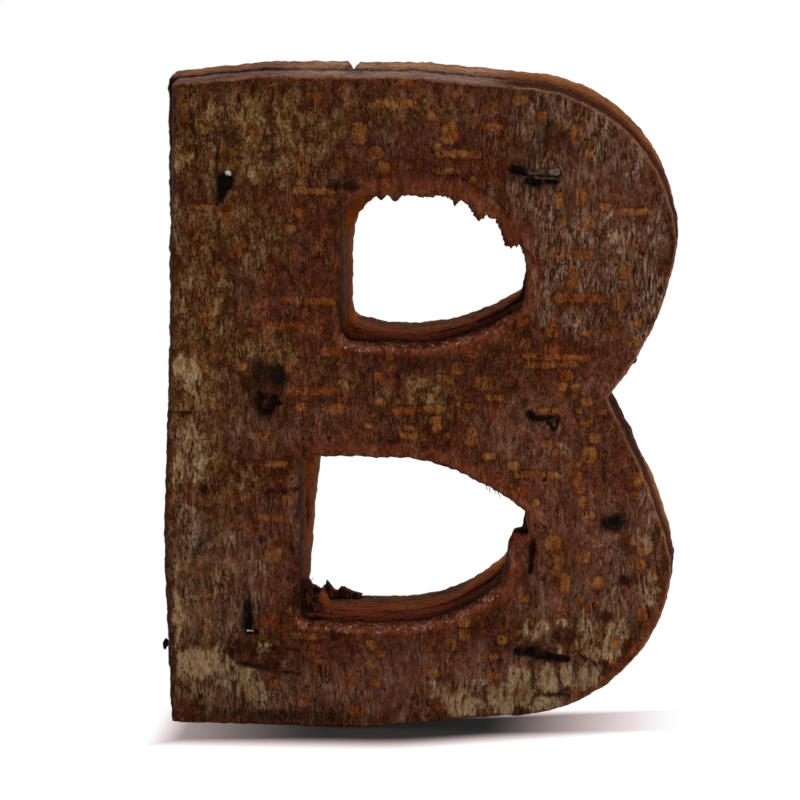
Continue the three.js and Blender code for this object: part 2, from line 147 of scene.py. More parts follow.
# Lenticels on the front face, in pixels: middle x, middle y, width, height.
OCHRE_LENTICELS = (
    # Top bar and stem head.
    (302, 165, 14, 24), (359, 133, 14, 22), (376, 153, 14, 12), (383, 168, 13, 13), (314, 191, 43, 6),
    (450, 133, 15, 22), (491, 127, 22, 7), (458, 154, 46, 7), (438, 148, 8, 9), (444, 171, 22, 6),
    (473, 180, 7, 7), (431, 116, 10, 10), (395, 104, 41, 7),
    # Upper bowl.
    (520, 100, 15, 9), (543, 116, 12, 10), (579, 117, 8, 7), (576, 134, 12, 18), (590, 149, 10, 17),
    (605, 207, 11, 8), (635, 212, 35, 7), (587, 223, 12, 15), (565, 221, 9, 9), (559, 201, 9, 16),
    (581, 197, 11, 18), (570, 254, 48, 7), (572, 271, 13, 10), (573, 283, 12, 12), (625, 270, 15, 17),
    (640, 247, 8, 8), (619, 302, 14, 19), (638, 286, 7, 5), (574, 310, 9, 8), (586, 333, 12, 6),
    (634, 341, 15, 11), (637, 324, 12, 10),
    # Stem.
    (206, 237, 10, 7), (290, 228, 11, 9), (201, 294, 16, 7), (202, 316, 12, 8), (208, 325, 15, 7),
    (195, 348, 10, 13), (287, 348, 10, 10), (241, 367, 13, 7), (303, 407, 15, 9), (337, 410, 13, 13),
    (276, 464, 25, 7), (254, 478, 8, 8), (246, 498, 10, 12), (286, 500, 13, 10), (273, 555, 17, 18),
    (198, 561, 10, 11), (178, 495, 10, 6), (206, 593, 10, 8), (289, 610, 6, 6), (308, 620, 10, 8),
    (225, 216, 16, 8), (203, 207, 20, 5),
    # Middle bar.
    (458, 368, 13, 13), (447, 380, 10, 9), (483, 383, 18, 15), (494, 398, 18, 6), (436, 420, 12, 6),
    (437, 428, 10, 10), (472, 433, 11, 11), (471, 442, 12, 7), (469, 406, 9, 6), (458, 404, 5, 4),
    (409, 428, 12, 6), (368, 426, 9, 6), (381, 402, 9, 7), (447, 437, 7, 7), (435, 409, 22, 7),
    (540, 365, 31, 6), (568, 364, 15, 7), (566, 375, 13, 12), (563, 387, 9, 9), (575, 387, 8, 7),
    (575, 397, 5, 5), (587, 402, 12, 8), (525, 344, 11, 11), (548, 411, 21, 6), (578, 411, 9, 5),
    (603, 412, 6, 6), (489, 456, 13, 8),
    # Lower bowl.
    (594, 438, 11, 11), (590, 455, 15, 17), (576, 479, 11, 17), (578, 464, 6, 6), (580, 490, 11, 7),
    (583, 502, 9, 12), (588, 515, 14, 7), (514, 466, 12, 9), (538, 475, 46, 7), (536, 503, 9, 8),
    (558, 452, 9, 7), (546, 444, 12, 8), (553, 543, 17, 15), (559, 559, 10, 16), (584, 557, 15, 11),
    (555, 571, 10, 9), (565, 583, 10, 20), (598, 583, 12, 14), (639, 479, 12, 14), (635, 496, 8, 8),
    (636, 541, 12, 8), (643, 551, 11, 7), (641, 566, 11, 8), (581, 599, 9, 8), (586, 610, 12, 12),
    (586, 423, 12, 7), (524, 598, 12, 7),
    # Bottom bar.
    (464, 622, 13, 11), (464, 635, 12, 12), (451, 645, 11, 13), (427, 648, 9, 6), (433, 656, 8, 5),
    (502, 640, 10, 10), (491, 657, 16, 6), (434, 673, 14, 9), (453, 692, 12, 7), (428, 690, 8, 8),
    (308, 636, 36, 7), (347, 630, 18, 8), (371, 645, 10, 10), (380, 654, 9, 8), (370, 664, 12, 9),
    (276, 684, 13, 9), (303, 703, 10, 8), (314, 688, 12, 7), (615, 643, 11, 11),
)
ORANGE_LENTICELS = (
    (252, 131, 27, 7), (316, 96, 21, 7), (405, 82, 16, 7), (301, 213, 12, 10), (455, 95, 8, 7),
    (327, 233, 9, 10), (240, 247, 12, 10), (215, 270, 10, 7), (309, 301, 54, 7), (256, 305, 13, 6),
    (283, 326, 45, 8), (250, 330, 13, 5), (266, 339, 6, 6), (332, 351, 22, 10), (289, 368, 9, 9),
    (379, 379, 10, 14), (393, 368, 8, 8), (313, 391, 55, 7), (405, 411, 28, 8), (262, 437, 20, 9),
    (302, 408, 12, 8), (291, 479, 8, 8), (240, 526, 32, 6), (273, 518, 30, 6), (263, 532, 12, 5),
    (346, 435, 8, 10), (409, 436, 16, 6), (523, 322, 12, 7), (553, 322, 8, 11), (551, 333, 16, 8),
    (579, 298, 50, 8), (554, 349, 20, 8), (556, 357, 67, 6), (472, 354, 12, 9), (390, 357, 8, 9),
    (523, 491, 11, 9), (270, 621, 18, 14), (283, 628, 10, 7), (321, 665, 18, 11), (352, 682, 16, 11),
    (376, 683, 10, 7), (357, 711, 15, 12), (454, 664, 10, 8), (494, 676, 12, 14), (521, 693, 14, 8),
    (440, 708, 12, 7), (642, 614, 11, 14), (614, 664, 11, 7), (576, 692, 11, 6), (640, 565, 10, 10),
    (655, 572, 7, 8), (562, 608, 14, 7), (596, 603, 9, 5), (340, 236, 7, 16), (338, 262, 7, 14),
)

LENTICEL_CELL = 0.75
LENTICEL_FADED = (-14.0, -2.0)  # fainter to the left of this
# How many bars and blobs are on the back, and how many of them are ochre.
REAR_BARS = 60
REAR_OCHRE_BARS = 38
REAR_BLOBS = 120
REAR_OCHRE_BLOBS = 80

# Broad tints and weathered patches, in pixels: middle x, middle y, half width, half height, strength.
MAROON_PATCHES = (
    (575, 500, 85, 120, 1.0), (620, 370, 44, 55, 0.8), (520, 430, 70, 34, 0.8), (440, 118, 70, 40, 0.6),
    (330, 430, 70, 28, 0.6), (250, 560, 55, 70, 0.6), (330, 680, 80, 44, 0.6), (560, 640, 70, 44, 0.6),
    (385, 140, 50, 34, 0.5), (610, 200, 50, 90, 0.6), (400, 690, 110, 40, 1.0), (260, 300, 30, 40, 0.5),
    (440, 660, 110, 34, 1.0),
)
RED_PATCHES = (
    (430, 640, 100, 20, 0.5), (420, 372, 100, 34, 0.8), (430, 170, 90, 30, 0.8), (312, 270, 40, 100, 0.9),
    (290, 520, 26, 100, 0.6), (345, 640, 44, 26, 0.6), (550, 352, 60, 22, 0.6), (270, 200, 40, 30, 0.3),
    (400, 455, 120, 16, 0.7), (530, 240, 26, 60, 0.5), (500, 320, 40, 30, 0.5), (240, 91, 90, 9, 0.9),
    (620, 470, 40, 44, 0.7), (182, 110, 14, 26, 0.8), (186, 706, 22, 12, 0.7),
)
OLIVE_PATCHES = (
    (240, 135, 95, 62, 1.0), (195, 390, 40, 130, 0.8), (200, 600, 36, 110, 0.7), (400, 108, 70, 22, 0.5),
    (425, 396, 44, 24, 0.5), (240, 235, 70, 34, 0.6), (250, 350, 40, 26, 0.6), (205, 270, 34, 60, 0.5),
    (300, 145, 40, 50, 0.6), (560, 640, 50, 30, 0.4),
)
TAN_PATCHES = (
    (195, 150, 28, 15, 1.0), (196, 120, 18, 14, 0.4), (249, 117, 16, 12, 1.0), (283, 120, 15, 11, 1.0),
    (262, 168, 20, 15, 0.9), (292, 98, 16, 13, 0.8), (255, 140, 26, 16, 0.7), (325, 132, 18, 18, 0.6),
    (395, 104, 32, 7, 0.8), (235, 105, 34, 16, 0.6), (300, 140, 24, 26, 0.6), (215, 185, 34, 14, 0.4),
    (240, 235, 60, 26, 0.35), (320, 200, 14, 8, 0.3), (186, 250, 12, 50, 0.4), (244, 354, 18, 13, 0.9),
    (284, 356, 14, 12, 0.7), (184, 370, 13, 30, 1.0), (197, 395, 18, 16, 0.8), (190, 432, 16, 30, 1.0),
    (208, 455, 14, 26, 0.6), (204, 338, 22, 16, 0.5), (352, 381, 13, 11, 0.8), (418, 392, 26, 16, 0.7),
    (184, 560, 12, 34, 0.7), (180, 613, 10, 20, 1.0), (200, 690, 24, 16, 0.6), (205, 620, 20, 30, 0.4),
    (243, 470, 18, 26, 0.4), (220, 575, 30, 16, 0.4), (262, 700, 24, 12, 0.5), (230, 275, 30, 14, 0.3),
    (460, 108, 20, 14, 0.25), (275, 150, 30, 40, 0.4), (210, 320, 24, 30, 0.4), (215, 520, 24, 30, 0.3),
)
PALE_PATCHES = (
    (205, 664, 36, 19, 0.75), (235, 680, 28, 20, 0.55), (185, 366, 9, 20, 0.5),
    (466, 703, 30, 10, 1.0), (506, 700, 26, 10, 1.1), (524, 680, 16, 16, 0.8), (546, 680, 12, 17, 1.0),
    (567, 678, 11, 15, 1.0), (588, 676, 16, 18, 0.6), (585, 628, 16, 18, 0.4), (535, 630, 20, 15, 0.4),
    (564, 623, 8, 6, 1.0), (440, 690, 16, 16, 0.5), (612, 640, 20, 24, 0.6), (475, 686, 28, 10, 0.4),
    (545, 702, 24, 7, 0.7), (600, 656, 20, 14, 0.4), (644, 545, 12, 12, 0.5), (650, 590, 12, 26, 0.5),
    (560, 450, 16, 10, 0.35), (548, 425, 16, 8, 0.35), (530, 700, 60, 12, 0.5), (262, 648, 10, 8, 0.6),
    (559, 649, 3, 8, 1.2), (177, 210, 6, 50, 0.3), (180, 300, 6, 40, 0.3),
    (178, 480, 8, 50, 0.4), (176, 600, 6, 70, 0.4),
    (547, 680, 13, 16, 1.2), (568, 678, 9, 12, 1.1), (588, 673, 13, 13, 0.8), (508, 700, 26, 12, 1.1),
    (460, 703, 26, 14, 1.1), (582, 634, 14, 14, 0.5), (533, 632, 16, 10, 0.6),
    (195, 658, 22, 12, 0.8), (252, 690, 18, 18, 0.6), (182, 615, 8, 18, 0.7),
    (190, 450, 16, 34, 0.6), (186, 375, 14, 30, 0.6), (509, 700, 32, 16, 1.2), (188, 520, 14, 30, 0.3),
)
# Lilac dashes: the fibres' own grey with a painted sheen on them.
LILAC_SHEEN_PATCHES = (
    (545, 105, 30, 18, 0.8), (590, 122, 28, 16, 1.0), (600, 150, 24, 20, 0.9), (630, 165, 24, 30, 0.7),
    (540, 215, 22, 24, 0.9), (600, 235, 56, 30, 0.9), (552, 262, 30, 34, 1.0), (600, 270, 44, 34, 0.7),
    (645, 290, 20, 38, 1.1), (548, 300, 18, 28, 0.9), (640, 320, 16, 30, 1.0), (575, 322, 24, 16, 0.7),
    (520, 195, 16, 16, 0.7), (655, 225, 14, 40, 0.8), (520, 440, 40, 24, 0.25),
    (640, 520, 22, 34, 0.6), (620, 580, 34, 44, 0.5), (300, 520, 20, 40, 0.3), (245, 560, 44, 44, 0.5),
    (570, 180, 50, 40, 0.5), (250, 430, 40, 30, 0.4), (560, 600, 40, 24, 0.3), (530, 130, 30, 30, 0.4),
    (220, 600, 44, 40, 0.6), (250, 704, 70, 14, 0.5), (330, 690, 90, 30, 0.3),
    (215, 692, 40, 22, 0.5), (546, 163, 14, 4, 1.2), (520, 684, 96, 34, 0.45),
    (420, 672, 70, 26, 0.3), (195, 640, 24, 12, 0.5), (190, 540, 20, 40, 0.5),
)

# Dark knots, stains and shadows, in pixels: middle x, middle y, half width, half height, strength.
DARK_SPOTS = (
    (613, 524, 13, 11, 1.0), (203, 489, 4, 6, 0.9), (348, 186, 16, 6, 0.9),
    (540, 157, 16, 2, 0.5), (430, 183, 40, 8, 0.15), (264, 297, 4, 4, 0.8),
    (226, 308, 8, 8, 0.5), (268, 371, 17, 13, 0.85), (185, 531, 8, 8, 0.6), (205, 538, 11, 9, 0.5),
    (263, 540, 5, 4, 0.7), (196, 643, 5, 4, 0.7), (202, 708, 6, 5, 0.7), (332, 635, 4, 8, 0.7),
    (393, 442, 9, 3, 0.7), (424, 448, 5, 3, 0.6), (450, 401, 4, 5, 0.6), (525, 401, 4, 3, 0.8),
    (519, 368, 6, 5, 0.5), (603, 615, 10, 5, 0.7), (623, 580, 5, 5, 0.7), (237, 141, 8, 5, 0.6),
    (570, 343, 9, 8, 0.5), (307, 596, 7, 10, 1.0), (420, 175, 60, 6, 0.35), (300, 465, 4, 6, 0.4),
    (250, 650, 20, 9, 0.4), (300, 715, 90, 5, 0.5), (552, 140, 26, 14, 0.3), (345, 180, 8, 12, 0.4),
    (222, 186, 15, 18, 0.5), (520, 174, 14, 12, 0.5), (545, 186, 22, 6, 0.4), (267, 402, 18, 16, 0.7),
    (271, 376, 15, 14, 0.95), (254, 383, 18, 8, 0.5), (542, 422, 20, 9, 0.4), (247, 612, 11, 26, 0.6),
    (246, 645, 16, 6, 0.5), (530, 652, 26, 10, 0.6), (556, 636, 16, 8, 0.4), (262, 664, 26, 6, 0.5),
    (519, 556, 4, 10, 0.3), (531, 556, 3, 18, 0.9), (425, 364, 60, 9, 0.4), (410, 142, 100, 30, 0.19),
    (341, 262, 5, 66, 0.5), (303, 530, 5, 66, 0.5), (262, 262, 56, 44, 0.1), (236, 88, 90, 6, 0.3),
    (420, 648, 80, 8, 0.2), (298, 596, 9, 16, 0.7),
    (230, 132, 14, 8, 0.4), (300, 590, 8, 26, 0.5),
)

# Cracks, in pixels, each a line of points.
CRACKS = (
    ((272, 88), (270, 110), (273, 135), (272, 165)),
    ((191, 108), (193, 130), (196, 160)),
    ((175, 137), (190, 136), (208, 136)),
    ((216, 134), (217, 160)),
    ((262, 158), (272, 159)),
    ((266, 491), (285, 491), (301, 488)),
    ((228, 643), (233, 659), (253, 667), (276, 671), (298, 674)),
    ((253, 651), (273, 648), (296, 650)),
    ((533, 662), (532, 682), (532, 704)),
    ((556, 674), (561, 684), (562, 695)),
    ((533, 696), (548, 695), (562, 694)),
    ((464, 696), (462, 713)),
    ((486, 686), (487, 702)),
    ((576, 656), (590, 660), (603, 674)),
    ((534, 544), (532, 560), (529, 573)),
    ((548, 120), (547, 150)),
    ((170, 412), (190, 413)),
    ((606, 130), (604, 160)),
    ((575, 620), (574, 640)),
    ((577, 660), (576, 670), (575, 682)),
    ((589, 664), (590, 678)),
    ((462, 179), (490, 195), (508, 215), (521, 240), (533, 262)),
)
CRACK_WIDTH = 0.19
CRACK_DEPTH = 0.2

# The staples' slots, in pixels: two ends of the slot, its half width at each end, and whether it is open to
# the crown. A slot that isn't open is a shallow pit, coloured dark as painted shade.
SLOTS = (
    ((224, 172.8), (229, 174), 1.5, 2.2, True), ((224.5, 180), (224.5, 184), 8.0, 7.4, False),
    ((222, 188), (220, 197), 5.4, 3.4, False),
    ((528, 173), (557, 173), 2.4, 3.8, True), ((513, 169), (526, 172), 4.0, 3.4, False),
    ((528, 181), (537, 183), 4.0, 4.5, False), ((546, 181.5), (557, 182), 1.8, 1.8, False),
    ((258, 393), (262, 397), 2.4, 2.6, False), ((258, 399), (259, 408), 2.4, 2.4, False),
    ((262, 411), (270, 413), 2.4, 2.6, False), ((270, 409), (273, 398), 3.4, 3.4, False),
    ((273, 402), (280, 403), 3.4, 1.8, False),
    ((529, 415), (533, 418), 3.6, 3.6, False), ((533, 418), (546, 419), 3.0, 2.0, False),
    ((546, 418), (558, 416), 1.3, 1.3, False), ((558, 417), (556, 429), 1.3, 1.2, False),
    ((546, 420), (554, 430), 1.7, 1.3, False),
    ((247.5, 603), (247.5, 626), 3.8, 4.4, False), ((246, 632.6), (257, 632), 1.0, 1.0, True),
    ((533, 541), (530, 571), 1.4, 2.0, False),
    ((516, 652), (534, 651), 3.0, 5.0, False), ((536, 655), (566, 659), 4.0, 3.4, False),
)
# Bark lifted by the staples, in pixels: two ends, half width, and height in millimetres.
LIPS = (
    ((534, 164), (556, 163), 4.0, 0.32), ((538, 411), (559, 411), 3.5, 0.25),
    ((556, 643), (561, 655), 1.6, 0.3),
    ((565, 165), (567, 178), 3.0, 0.15), ((212, 168), (213, 186), 3.0, 0.12),
    ((258, 600), (259, 622), 3.0, 0.12),
    ((524, 190), (548, 189), 3.0, 0.12), ((540, 664), (562, 666), 3.0, 0.12),
)
# Where the face rolls over an edge and shows red inner bark, in pixels: a line of points and a half width.
ROLLED_EDGES = (
    (((352, 188), (420, 184), (462, 192), (495, 212), (520, 238), (532, 270), (528, 300)), 13.0),
    (((318, 452), (400, 450), (450, 460), (500, 486), (532, 515)), 9.0),
    (((346, 338), (380, 350), (430, 352), (470, 347), (505, 332)), 6.0),
    (((318, 612), (350, 628), (400, 631), (450, 624), (505, 597)), 6.0),
    (((514, 540), (518, 565), (508, 590)), 9.0),
    (((470, 723), (530, 718), (573, 703), (609, 678), (645, 638), (664, 592)), 4.0),
)
# The flap's top, a thin skin that stands up by itself, in pixels.
FLAP_TOP = ((508, 529), (523, 532))
FLAP_SLOPE = 0.27
FLAP_REACH = 1.5
FLAP_DRY = (9.4, 10.2)  # no glints to the right of this

# Loose fibres at the counters' edges, in pixels, each from its root to its tip.
FRONT_FIBRES = (
    ((489, 487), (490, 491), (490, 495)), ((494, 489), (495, 493), (499, 495)),
    ((498, 492), (500, 496), (500, 499)),
    ((486, 485), (487, 488), (489, 490)), ((395, 193), (396, 197), (394, 199)),
    ((480, 214), (480, 219), (478, 222)),
    ((512, 239), (511, 244), (509, 246)), ((362, 205), (364, 207), (364, 210)),
    ((470, 476), (472, 479), (471, 481)),
)
REAR_FIBRES = (
    ((309, 574), (311, 571), (310, 567)), ((309, 582), (312, 580), (313, 577)),
    ((315, 588), (318, 586), (321, 587)),
    ((318, 590), (321, 589), (325, 591)), ((345, 590), (349, 589), (352, 591)),
)
FIBRE_RADIUS = 0.05
FIBRE_BEND = 0.25
FRONT_FIBRE_DEPTH = 0.8  # in from the front
# Torn bits that stand up from the lower counter's corner and at the edges, in pixels, each an outline.
REAR_SHARDS = (
    ((300, 612), (303, 590), (307, 579), (309, 581), (312, 586), (315.5, 587), (319.5, 590), (323, 590),
     (319, 591.5), (325, 598.5), (330, 606), (326, 614)),
    ((326, 604), (325, 590), (326, 581.5), (329, 585), (333.5, 591), (337, 592), (340, 588.3),
     (343.5, 588.3), (347.5, 591), (352.5, 593), (362, 595.5), (352, 606)),
)
FRONT_SHARDS = (
    ((162.6, 643), (164, 640.3), (165.8, 641), (168.5, 644.3), (173, 645), (168, 646), (166, 648),
     (165.3, 650), (163.3, 648.5)),
    ((628, 361), (635, 359.2), (636.8, 360.5), (636, 362.5), (634, 363.8), (627, 365)),
    ((513, 539), (508.5, 545), (512, 548.5), (515, 546)),
    ((517, 532), (522, 533), (526, 525), (530, 530), (529, 545), (518, 545)),
    # The last two, at the lower counter's corner, are torn bits and also a dark sheet as painted shade of the
    # hollow.
    ((301, 613), (302, 590), (304, 584), (307, 579), (309, 583), (312, 586), (311, 592), (314, 598),
     (311, 604), (312, 613)),
    ((311, 613), (313, 604), (312, 598), (315, 594), (318, 597), (317, 603), (321, 606), (323, 613)),
)
SHARD_THICKNESS = 1.0
REAR_SHARD_DEPTH = 1.9  # in from the back
FRONT_SHARD_DEPTH = 2.4  # in from the front
CORNER_SPLINTERS = 40  # along the lower counter's rough corner
CORNER_RUN = 5.5
SPLINTER_DEPTHS = (0.8, 5.5)
SPLINTER_SINK = 0.15
SPLINTER_RUN = (0.9, 0.9, 0.3)
SPLINTER_RADIUS = 0.18
LEDGE_CRUMBS = 55  # on each counter's ledge
CRUMB_INWARD = (-0.9, 1.1)
CRUMB_SIZE = (0.08, 0.3)

# The front's patches by name, and the back's, which are spread at random: how many, and the ranges of their
# half widths, half heights and strengths.
FRONT_PATCHES = {
    "maroon": MAROON_PATCHES, "red": RED_PATCHES, "olive": OLIVE_PATCHES, "tan": TAN_PATCHES,
    "pale": PALE_PATCHES, "lilac": LILAC_SHEEN_PATCHES, "dark": DARK_SPOTS,
}
REAR_PATCHES = {
    "maroon": (14, (3.0, 9.0), (3.0, 11.0), (0.5, 1.0)), "red": (12, (3.0, 9.0), (3.0, 10.0), (0.4, 0.9)),
    "olive": (12, (3.0, 9.0), (3.0, 11.0), (0.4, 0.9)), "tan": (26, (1.0, 4.0), (1.0, 5.0), (0.3, 1.0)),
    "pale": (9, (1.0, 3.0), (1.0, 2.0), (0.3, 0.9)), "lilac": (18, (1.0, 4.0), (2.0, 6.0), (0.3, 0.9)),
    "dark": (16, (0.4, 1.2), (0.4, 1.0), (0.5, 1.0)),
}


# Noise and shaping.

def hashed(i, j, k, seed):
    """A number from 0 to 1 for each cell of a lattice."""
    n = (i * 374761393 + j * 668265263 + k * 2147483647 + seed * 974711) & 0xFFFFFFFF
    n = ((n ^ (n >> 13)) * 1274126177) & 0xFFFFFFFF
    return ((n ^ (n >> 16)) & 0xFFFFFF) / 0x1000000


def noise(x, y, z, seed):
    """Smooth noise from about -1 to 1 over coordinates measured in cells."""
    cell = [np.floor(c).astype(np.int64) for c in (x, y, z)]
    part = [c - f for c, f in zip((x, y, z), cell)]
    fade = [p * p * p * (p * (6 * p - 15) + 10) for p in part]
    total = np.zeros(np.shape(x))
    for side in itertools.product((0, 1), repeat=3):
        corner = [c + d for c, d in zip(cell, side)]
        turn = 2 * np.pi * hashed(*corner, seed)
        rise = 2 * hashed(*corner, seed + 101) - 1
        flat = np.sqrt(1 - rise * rise)
        ahead = [p - d for p, d in zip(part, side)]
        slope = flat * np.cos(turn) * ahead[0] + flat * np.sin(turn) * ahead[1] + rise * ahead[2]
        weight = 1.0
        for f, d in zip(fade, side):
            weight = weight * (f if d else 1 - f)
        total = total + weight * slope
    return NOISE_GAIN * total


def rough(x, y, z, seed, octaves=3):
    """Noise in several octaves, each half as large and twice as fine as the one before."""
    total = np.zeros(np.shape(x))
    for octave in range(octaves):
        scale = 2.0 ** octave
        total = total + noise(x * scale, y * scale, z * scale, seed + octave) / scale
    return total


def step(low, high, value):
    """A smooth step from 0 at low to 1 at high."""
    t = np.clip((value - low) / (high - low), 0, 1)
    return t * t * (3 - 2 * t)


def on_plane(px, py, y):
    """Where the ray through a pixel of the photograph meets the upright plane at y: x and z."""
    ray = (
        -BACK * FOCAL_PIXELS
        + np.multiply.outer(np.asarray(px, float) - PHOTO_PIXELS / 2, RIGHT)
        - np.multiply.outer(np.asarray(py, float) - PHOTO_PIXELS / 2, UP)
    )
    reach = (y - CAMERA_PLACE[1]) / ray[..., 1]
    place = CAMERA_PLACE + reach[..., None] * ray
    return place[..., 0], place[..., 2]


def on_face(px, py):
    """Where the ray through a pixel of the photograph meets the front face: x and z."""
    return on_plane(px, py, FRONT_FACE)


def from_line(x, z, a, b):
    """The distance of points from the line from a to b, and how far along it they lie, from 0 to 1."""
    dx, dz = b[0] - a[0], b[1] - a[1]
    along = np.clip(((x - a[0]) * dx + (z - a[1]) * dz) / (dx * dx + dz * dz), 0, 1)
    return np.hypot(x - a[0] - along * dx, z - a[1] - along * dz), along


# The relief and the colour masks of a bark face.

def wobble(x, z, reach, seed):
    """An uneven shift: broad waves and a fine tremble."""
    return reach * rough(1.3 * x, 1.3 * z, 0.0, seed) + 0.05 * noise(4 * x, 4 * z, 0.0, seed + 1)


def lenticel_mask(x, z, spots):
    """Rounded bars and blobs, faintly split into cells, and the dark line round them.

    Spots are x, z, width and height.
    """
    mask = np.zeros(len(x))
    halo = np.zeros(len(x))
    wobble_x = wobble(x, z, 0.11, SEED + 20)
    wobble_z = wobble(x, z, 0.10, SEED + 30)
    cells = np.abs(np.sin(np.pi * x / LENTICEL_CELL + 1.8 * rough(0.7 * x, 0.7 * z, 0.0, SEED + 40)))
    pinch = 0.09 * (1 - step(0.05, 0.6, cells))
    rng = np.random.default_rng(SEED + 41)
    for sx, sz, width, height in spots:
        strength = rng.uniform(0.8, 1.0) * (0.7 + 0.3 * step(*LENTICEL_FADED, sx))
        near = (np.abs(x - sx) < width) & (np.abs(z - sz) < height + 0.5)
        if not near.any():
            continue
        corner = 0.4 * min(width, height)
        u = np.abs(x[near] - sx + wobble_x[near]) - width / 2 + corner
        v = np.abs(z[near] - sz + wobble_z[near]) - height / 2 + corner
        outside = np.hypot(np.maximum(u, 0), np.maximum(v, 0)) + np.minimum(np.maximum(u, v), 0) - corner
        outside = outside + pinch[near]
        mask[near] = np.maximum(mask[near], strength * (1 - step(-0.08, 0.09, outside)))
        halo[near] = np.maximum(halo[near], step(-0.02, 0.1, outside) * (1 - step(0.12, 0.4, outside)))
    return mask * (0.75 + 0.25 * step(0.05, 0.4, cells)), halo * (1 - mask)


def lenticel_masks(x, z, ochre, orange):
    """Masks of the ochre and the orange lenticels, and of the dark line round both."""
    masks = {}
    masks["ochre"], ochre_halo = lenticel_mask(x, z, ochre)
    masks["orange"], orange_halo = lenticel_mask(x, z, orange)
    masks["halo"] = np.maximum(ochre_halo, 0.6 * orange_halo)
    return masks


def patch_mask(x, z, spots, seed):
    """Soft-edged ragged patches. Spots are x, z, half width, half height and strength."""
    mask = np.zeros(len(x))
    ragged = 0.55 * rough(0.5 * x, 0.22 * z, 0.0, seed)
    for sx, sz, half_width, half_height, strength in spots:
        away = np.hypot((x - sx) / half_width, (z - sz) / half_height) + ragged
        mask = np.maximum(mask, strength * (1 - step(0.45, 1.25, away)))
    return mask


def crack_mask(x, z, lines, width):
    """Thin wavering lines. Lines are lists of points."""
    mask = np.zeros(len(x))
    waver = 0.22 * rough(0.8 * x, 0.8 * z, 0.0, SEED + 60)
    for line in lines:
        for a, b in zip(line, line[1:]):
            away, _ = from_line(x + waver, z + 0.5 * waver, a, b)
            mask = np.maximum(mask, 1 - step(0.4 * width, 1.6 * width, away))
    return mask * (0.5 + 0.5 * step(-0.25, 0.2, noise(0.7 * x, 0.5 * z, 0.0, SEED + 61)))


def grow_cracks(x, z, seed):
    """Short natural cracks that follow the fibres, thinly spread."""
    fold = np.abs(noise(0.55 * x, 0.11 * z, 0.0, seed))
    here = step(0.25, 0.5, noise(0.16 * x, 0.09 * z, 3.0, seed + 1))
    return here * (1 - step(0.02, 0.075, fold))


def bark_fibre(x, z, seed):
    """Upright fibres that waver, from -1 to 1."""
    waver = 0.5 * noise(0.25 * x, 0.12 * z, 0.0, seed)
    return rough(1.15 * (x + waver), 0.2 * z, 0.0, seed + 1, 2)


def slot_masks(x, z, ragged):
    """The depth of the staples' slots, and the painted shade, dark, in and round them."""
    pit = np.zeros(len(x))
    painted_pit_shade = np.zeros(len(x))
    for a, b, start, end, is_open in SLOTS:
        away, along = from_line(x, z, on_face(*a), on_face(*b))
        edge = away + ragged - PIXEL * (start + (end - start) * along)
        pit = np.maximum(pit, (1 - step(-0.2, 0.08, edge)) * (WINDOW_DEPTH if is_open else PIT_DEPTH))
        painted_pit_shade = np.maximum(painted_pit_shade, 1 - step(-0.1, 0.3, edge))
    return pit, painted_pit_shade


def rolled_mask(x, z, ragged):
    """Where the face rolls over its edges."""
    mask = np.zeros(len(x))
    for line, half in ROLLED_EDGES:
        for a, b in zip(line, line[1:]):
            away, _ = from_line(x, z, on_face(*a), on_face(*b))
            mask = np.maximum(mask, 1 - step(0.3, 1.1, (away + 2 * ragged) / (half * PIXEL)))
    return mask


def lip_height(x, z, ragged):
    """How far the staples lift the bark beside them."""
    lift = np.zeros(len(x))
    for a, b, half, height in LIPS:
        away, _ = from_line(x, z, on_face(*a), on_face(*b))
        lift = np.maximum(lift, height * (1 - step(0.2, 1.1, (away + ragged) / (half * PIXEL))))
    return lift


def scaled(spots):
    """Pixel features of the front face in millimetres: place, then sizes, with any strength kept."""
    places = np.array([spot[:2] for spot in spots], float)
    x, z = on_face(places[:, 0], places[:, 1])
    return [(sx, sz, spot[2] * PIXEL, spot[3] * PIXEL, *spot[4:]) for sx, sz, spot in zip(x, z, spots)]


def scattered(count, seed, *ranges):
    """Random places over the back, each with a number from every range."""
    rng = np.random.default_rng(seed)
    low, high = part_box("rear_bark")
    return [
        (rng.uniform(low.x, high.x) / MM, rng.uniform(low.z, high.z) / MM, *[rng.uniform(*r) for r in ranges])
        for _ in range(count)
    ]


def face_relief(x, z, masks, seed):
    """The depth that fibres, lenticels, patches, cracks and knots give to a face."""
    return (
        0.10 * noise(0.08 * x, 0.06 * z, 0.0, seed)
        - 0.05 * masks["fibre"]
        - 0.06 * np.maximum(masks["ochre"], masks["orange"])
        - 0.05 * np.maximum(masks["tan"], masks["pale"])
        + 0.05 * masks["halo"]
        + CRACK_DEPTH * masks["crack"]
        + 0.25 * masks["dark"] ** 2
    )


def front_relief(x, z, to_counter):
    """The front face's depth below its plane, and its colour masks."""
    masks = lenticel_masks(x, z, scaled(OCHRE_LENTICELS), scaled(ORANGE_LENTICELS))
    for i, (key, spots) in enumerate(FRONT_PATCHES.items()):
        masks[key] = patch_mask(x, z, scaled(spots), SEED + 70 + i)
    lines = [list(zip(*on_face(*zip(*line)))) for line in CRACKS]
    masks["crack"] = np.maximum(crack_mask(x, z, lines, CRACK_WIDTH), 0.5 * grow_cracks(x, z, SEED + 80))
    masks["fibre"] = bark_fibre(x, z, SEED + 100)
    depth = face_relief(x, z, masks, SEED + 110)
    ragged = 0.13 * rough(1.2 * x, 1.2 * z, 0.0, SEED + 90) + 0.08 * noise(3.0 * x, 3.0 * z, 0.0, SEED + 91)
    pit, painted_pit_shade = slot_masks(x, z, ragged)
    masks["dark"] = np.maximum(masks["dark"], painted_pit_shade)
    masks["bend"] = rolled_mask(x, z, ragged)
    return np.maximum(depth - lip_height(x, z, ragged), pit), masks


